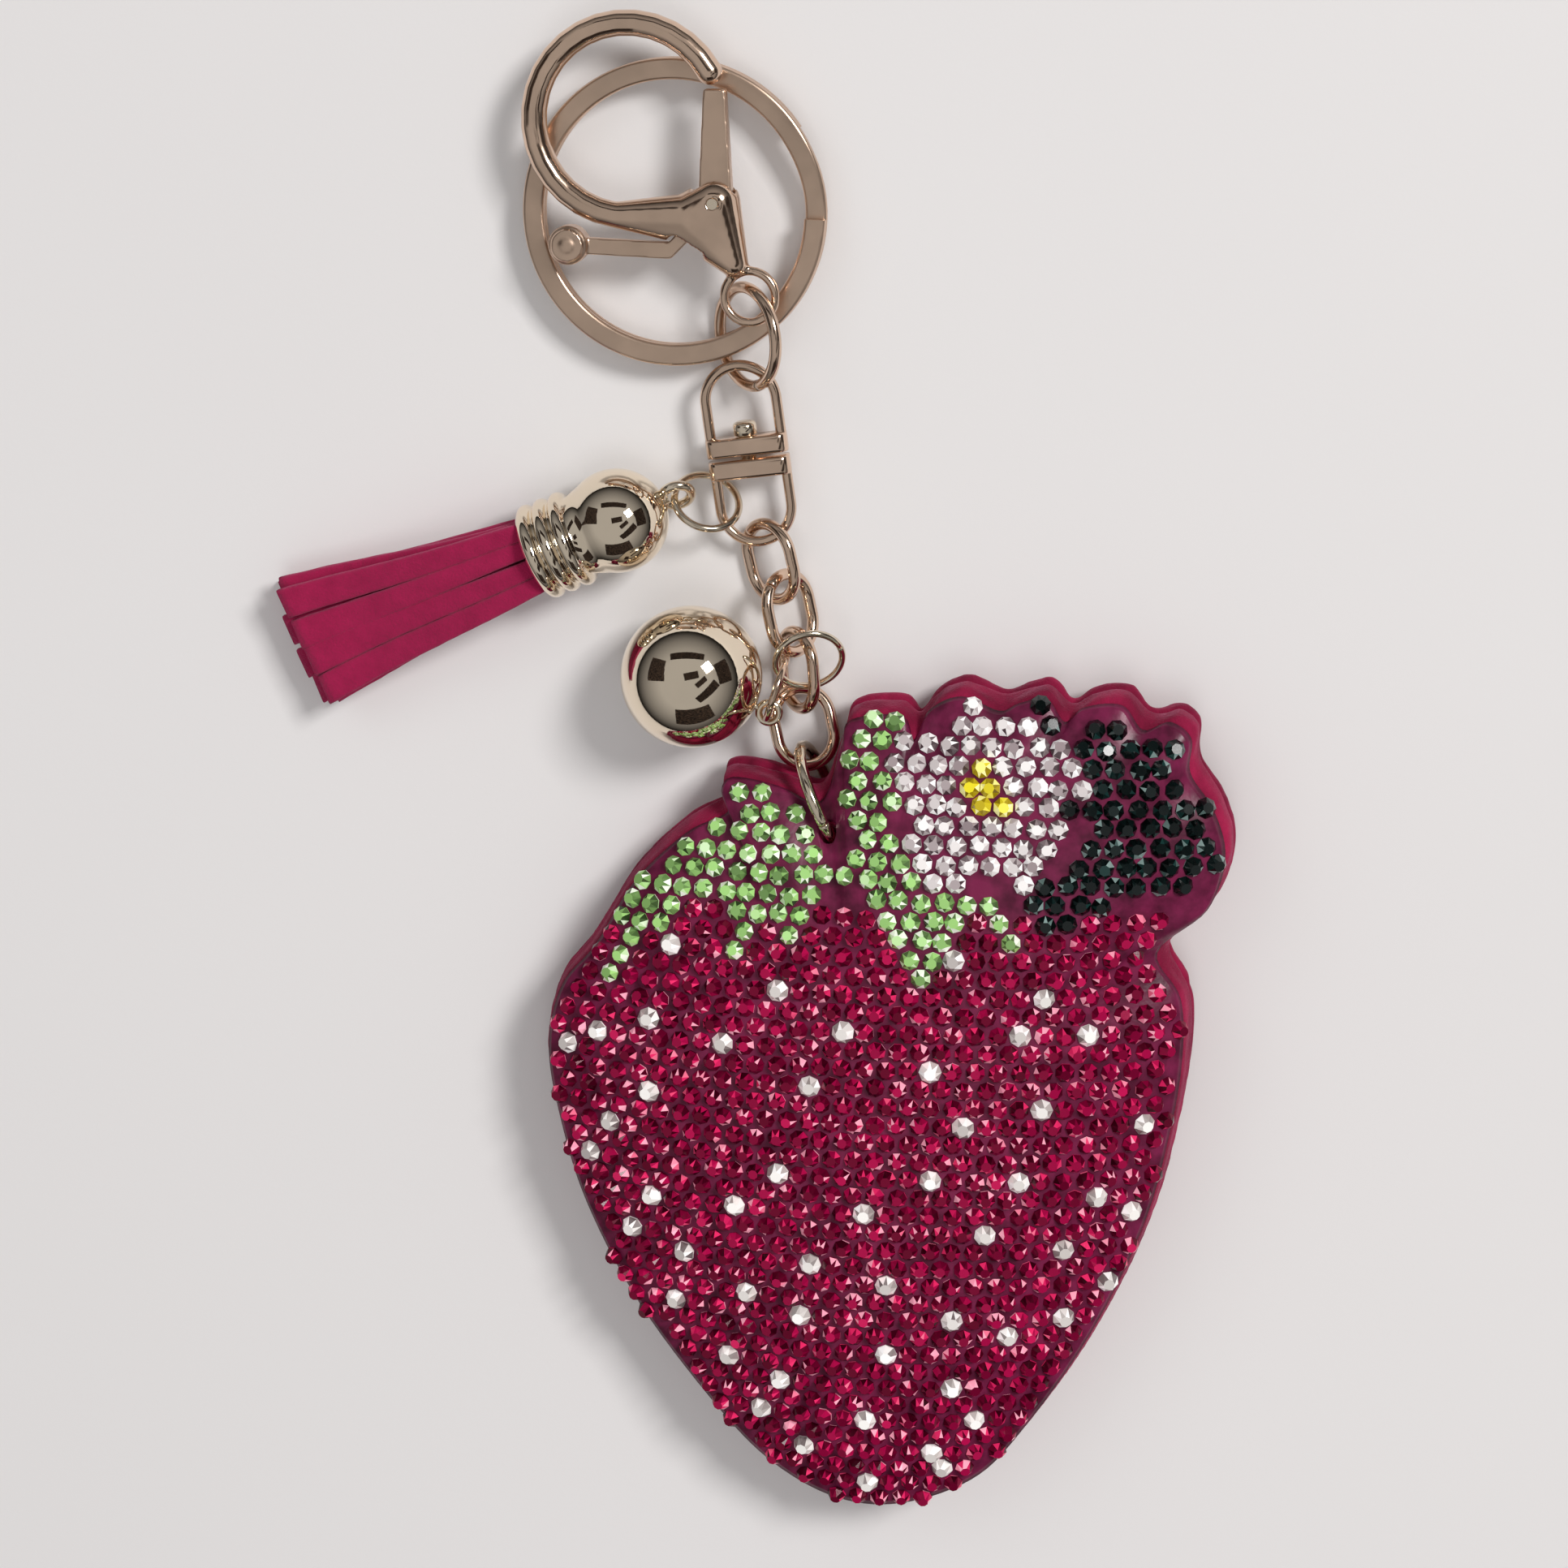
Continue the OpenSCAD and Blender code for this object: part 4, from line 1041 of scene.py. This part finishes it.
class CHARM_OT_tassel(bpy.types.Operator):
    """Makes the tassel's ring, its polished head and ribbed collar, and the suede strips"""

    bl_idname = "charm.tassel"
    bl_label = "Tassel"

    def execute(self, context):
        ring = cut_ring("tassel_ring_wire", 6.8, 0.7, 60, 72)
        put(ring, middle("tassel_ring"), tilt(*TASSEL_RING_TILT))
        finish_piece(ring, "tassel_ring", material("pale_gold"), ["tassel_ring"])
        turn = about("Z", TASSEL_TURN)
        _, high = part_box("tassel_cap")
        radius = 4.85
        head = Vector((high[0] - radius * MM, high[1] - radius * MM, 4.87 * MM))
        profile = [(radius * -math.cos(a), radius * math.sin(a))
                   for a in (math.radians(d) for d in range(3, 120, 6))]
        profile = [p for p in profile if p[0] < 3.2]
        rib = ((0, 3.75), (0.12, 4.15), (0.45, 4.5), (0.8, 4.6), (1.15, 4.5), (1.48, 4.15))
        for k in range(3):
            start = 3.75 + 1.6 * k
            profile += [(start + x, r) for x, r in rib]
        profile += [(8.55, 3.8), (8.6, 3.5), (5.2, 3.4)]
        cap = turned("tassel_cap_turned", profile, 72)
        put(cap, head, turn)
        finish_piece(cap, "tassel", material("mirror_gold"), ["tassel_cap"])
        self.strips(head, turn)
        return {"FINISHED"}

    def strips(self, head, turn):
        """Cuts suede strips that fan out of the collar and droop to the table"""
        chance = random.Random(5)
        made = []
        layers, across, steps = 4, 4, 26
        collar, pitch, thick = 8.0, 1.62, 1.15
        for j in range(layers):
            for i in range(across):
                side = i - (across - 1) / 2
                level = j - (layers - 1) / 2
                fan = math.radians(side * 3.2 + chance.uniform(-0.9, 0.9) + (j % 2 - 0.5) * 1.6)
                length = 25 + chance.uniform(-1.2, 0.4)
                loops = []
                wave = chance.uniform(0, 6.28)
                for k in range(steps + 1):
                    t = k / steps
                    s = collar + (length + 0.6) * t
                    width = pitch + 1.35 * t
                    sway = 0.12 * math.sin(wave + 5 * t)
                    lateral = side * pitch + math.tan(fan) * (s - collar) + sway
                    drop = 3 * t ** 2 - 2 * t ** 3
                    top = level * 1.3
                    end = -4.85 + 0.68 + j * 1.24
                    z = top + (end - top) * min(1, 1.15 * drop) + 0.1 * math.sin(wave + 8 * t) * t
                    z = max(z, -4.8 + 0.66)
                    section = rounded_rect(width, thick, 0.3, 2)
                    skew = math.radians(chance.uniform(-1, 1) + 10 * math.sin(wave * 2) * t)
                    loop = []
                    for x, h in section:
                        fuzz = 1 + chance.uniform(-0.02, 0.02)
                        loop.append(Vector((s, lateral + fuzz * (x * math.cos(skew)),
                                            z + fuzz * h + x * math.sin(skew) * 0.4)) * MM)
                    loops.append(loop)
                made.append(loft(f"strip_{j}_{i}", loops))
        strips = join(made, "suede_strips")
        put(strips, head, turn)
        for vertex in strips.data.vertices:
            vertex.co.z = max(vertex.co.z, 0.02 * MM)
        finish_piece(strips, "tassel", material("suede"), ["tassel_strips"])


class CHARM_OT_ball(bpy.types.Operator):
    """Makes the hanging ball with its small rings"""

    bl_idname = "charm.ball"
    bl_label = "Ball"

    def execute(self, context):
        jump = cut_ring("ball_jump_wire", 6.9, 0.65, 20, 72)
        put(jump, middle("ball_jump_ring"), tilt(*JUMP_TILT))
        finish_piece(jump, "jump_ring", material("pale_gold"), ["ball_jump_ring"])
        loop = cut_ring("ball_loop_wire", 6.4, 0.65, 200, 72)
        put(loop, middle("ball_loop"), tilt(*LOOP_TILT))
        finish_piece(loop, "loop", material("gold"), ["ball_loop"])
        deselect_all()
        bpy.ops.mesh.primitive_uv_sphere_add(segments=96, ring_count=64, radius=6.6 * MM)
        ball = bpy.context.object
        ball.name = ball.data.name = "polished_ball"
        put(ball, middle("ball"), about("Z", BALL_TURN) @ about("Y", 90))
        bpy.ops.object.shade_smooth()
        finish_piece(ball, "ball", material("mirror_gold"), ["ball"])
        return {"FINISHED"}


class CHARM_OT_plain_nodes(bpy.types.Operator):
    """Gives the CAD pieces that stay visible their finished materials"""

    bl_idname = "charm.plain_nodes"
    bl_label = "Kept pieces"

    KEPT = {
        "stuffing": "filling", "gate_pin": "satin_pale_gold", "gate_spring": "steel",
        "tassel_eye": "pale_gold", "tassel_core": "suede", "ball_eye": "pale_gold",
    }

    def execute(self, context):
        for name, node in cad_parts.items():
            look = self.KEPT.get(name, "gold")
            for slot in node.material_slots:
                slot.material = material(look)
            if not node.material_slots:
                node.data.materials.append(material(look))
        return {"FINISHED"}


class CHARM_OT_studio(bpy.types.Operator):
    """Sets the floor, the soft lights, the room round them and the camera"""

    bl_idname = "charm.studio"
    bl_label = "Studio"

    def execute(self, context):
        deselect_all()
        bpy.ops.mesh.primitive_plane_add(size=6, location=(0, 0, -0.00003))
        floor = bpy.context.object
        floor.name = "floor"
        floor.data.materials.append(material("floor"))
        self.light("key", (0.95, 0.77, 1.24), 0.42, 19.5, (1.0, 0.985, 0.97), True)
        self.light("fill", (-0.9, 0.8, 1.1), 0.8, 1.5, (0.96, 0.98, 1.0), False)
        self.light("top", (0.12, -0.2, 1.2), 0.5, 1.8, (1.0, 0.99, 0.99), False)
        self.surroundings()
        self.sky(context.scene)
        self.camera(context.scene)
        return {"FINISHED"}

    def sky(self, scene):
        """A world that is pale overhead and dark low down"""
        world = bpy.data.worlds.new("studio")
        world.use_nodes = True
        nodes, links = world.node_tree.nodes, world.node_tree.links
        place = nodes.new("ShaderNodeTexCoord")
        split = nodes.new("ShaderNodeSeparateXYZ")
        ramp = nodes.new("ShaderNodeValToRGB")
        stops = ramp.color_ramp.elements
        stops[0].position, stops[0].color = 0.04, (0.035, 0.032, 0.03, 1)
        stops[1].position, stops[1].color = 0.75, (1, 0.99, 0.98, 1)
        stops.new(0.3).color = (0.42, 0.41, 0.41, 1)
        links.new(place.outputs["Generated"], split.inputs["Vector"])
        links.new(split.outputs["Z"], ramp.inputs["Fac"])
        links.new(ramp.outputs["Color"], nodes["Background"].inputs["Color"])
        nodes["Background"].inputs["Strength"].default_value = 0.44
        scene.world = world
        scene.view_settings.view_transform = "Standard"

    # Lens for a 36 mm wide sensor, the camera's place in mm, its right hand and its back
    LENS = 36 * 2.587992
    VIEWPOINT = (43.8, 118.2, 370.0)
    RIGHT = (0.9902, 0, -0.1397)
    BACK = (0.1359, 0.2324, 0.9631)

    def camera(self, scene):
        """The camera, high over the charm and close to straight down"""
        camera = bpy.data.objects.new("camera", bpy.data.cameras.new("camera"))
        scene.collection.objects.link(camera)
        camera.data.sensor_width = 36
        camera.data.lens = self.LENS
        camera.data.clip_start, camera.data.clip_end = 0.01, 20
        right, back = Vector(self.RIGHT).normalized(), Vector(self.BACK).normalized()
        up = back.cross(right).normalized()
        right = up.cross(back)
        turning = Matrix((right, up, back)).transposed().to_4x4()
        camera.matrix_world = Matrix.Translation(Vector(self.VIEWPOINT) * MM) @ turning
        scene.camera = camera

    # Card, its place, its turn in degrees and its width and length, for the metal to reflect
    CARDS = (("phone", (0.05, 0.135, 0.402), (-13, 8, 12), (0.17, 0.085)),
             ("hands", (0.17, 0.06, 0.4), (-5, 15, 40), (0.16, 0.07)),
             ("sleeve", (0.27, -0.1, 0.42), (20, 30, 55), (0.4, 0.13)),
             ("shirt", (0.1, -0.5, 0.36), (58, 0, 5), (0.62, 0.34)),
             ("shelf", (-0.46, 0.22, 0.36), (0, -52, 10), (0.3, 0.36)),
             ("beam", (0.0, 0.55, 0.5), (-48, 0, 4), (0.7, 0.14)),
             ("door", (0.6, 0.2, 0.3), (0, 64, 20), (0.3, 0.4)))

    def surroundings(self):
        """Dark things of a room above the table, which only the polished metal shows"""
        for name, at, degrees, size in self.CARDS:
            deselect_all()
            bpy.ops.mesh.primitive_plane_add(size=1, location=at,
                                             rotation=[math.radians(d) for d in degrees])
            card = bpy.context.object
            card.name = name
            card.scale = (size[0], size[1], 1)
            card.visible_camera = card.visible_diffuse = card.visible_shadow = False
            card.data.materials.append(material("card"))

    def light(self, name, at, size, power, colour, mirrored):
        """One soft square light that faces the charm; only a mirrored one shows in the metal"""
        data = bpy.data.lights.new(name, "AREA")
        data.shape = "SQUARE"
        data.size = size
        data.energy = power
        data.color = colour
        lamp = bpy.data.objects.new(name, data)
        bpy.context.scene.collection.objects.link(lamp)
        lamp.visible_glossy = mirrored
        lamp.location = at
        aim = Vector((-0.008, 0.03, 0)) - Vector(at)
        lamp.rotation_euler = aim.to_track_quat("-Z", "Y").to_euler()


class CHARM_PT_panel(bpy.types.Panel):
    """Lists the charm's sizes, colours and steps"""

    bl_idname = "CHARM_PT_panel"
    bl_label = "Bag charm"
    bl_space_type = "VIEW_3D"
    bl_region_type = "UI"
    bl_category = "Charm"

    def draw(self, context):
        sizes, colours = context.scene.charm_sizes, context.scene.charm_colours
        for group in (sizes, colours):
            box = self.layout.box()
            for key in group.__annotations__:
                box.prop(group, key)
        for step in STEPS:
            self.layout.operator(step.bl_idname)


STEPS = (CHARM_OT_plain_nodes, CHARM_OT_pads, CHARM_OT_film, CHARM_OT_stones, CHARM_OT_chain,
         CHARM_OT_swivel, CHARM_OT_rings, CHARM_OT_clasp, CHARM_OT_tassel, CHARM_OT_ball,
         CHARM_OT_studio)
CLASSES = (CharmSizes, CharmColours, *STEPS, CHARM_PT_panel)


def register():
    for cls in CLASSES:
        bpy.utils.register_class(cls)
    bpy.types.Scene.charm_sizes = PointerProperty(type=CharmSizes)
    bpy.types.Scene.charm_colours = PointerProperty(type=CharmColours)


def unregister():
    del bpy.types.Scene.charm_colours
    del bpy.types.Scene.charm_sizes
    for cls in reversed(CLASSES):
        bpy.utils.unregister_class(cls)


def main():
    """Runs each step in order"""
    register()
    for step in STEPS:
        group, name = step.bl_idname.split(".")
        getattr(getattr(bpy.ops, group), name)()


if __name__ == "__main__":
    main()
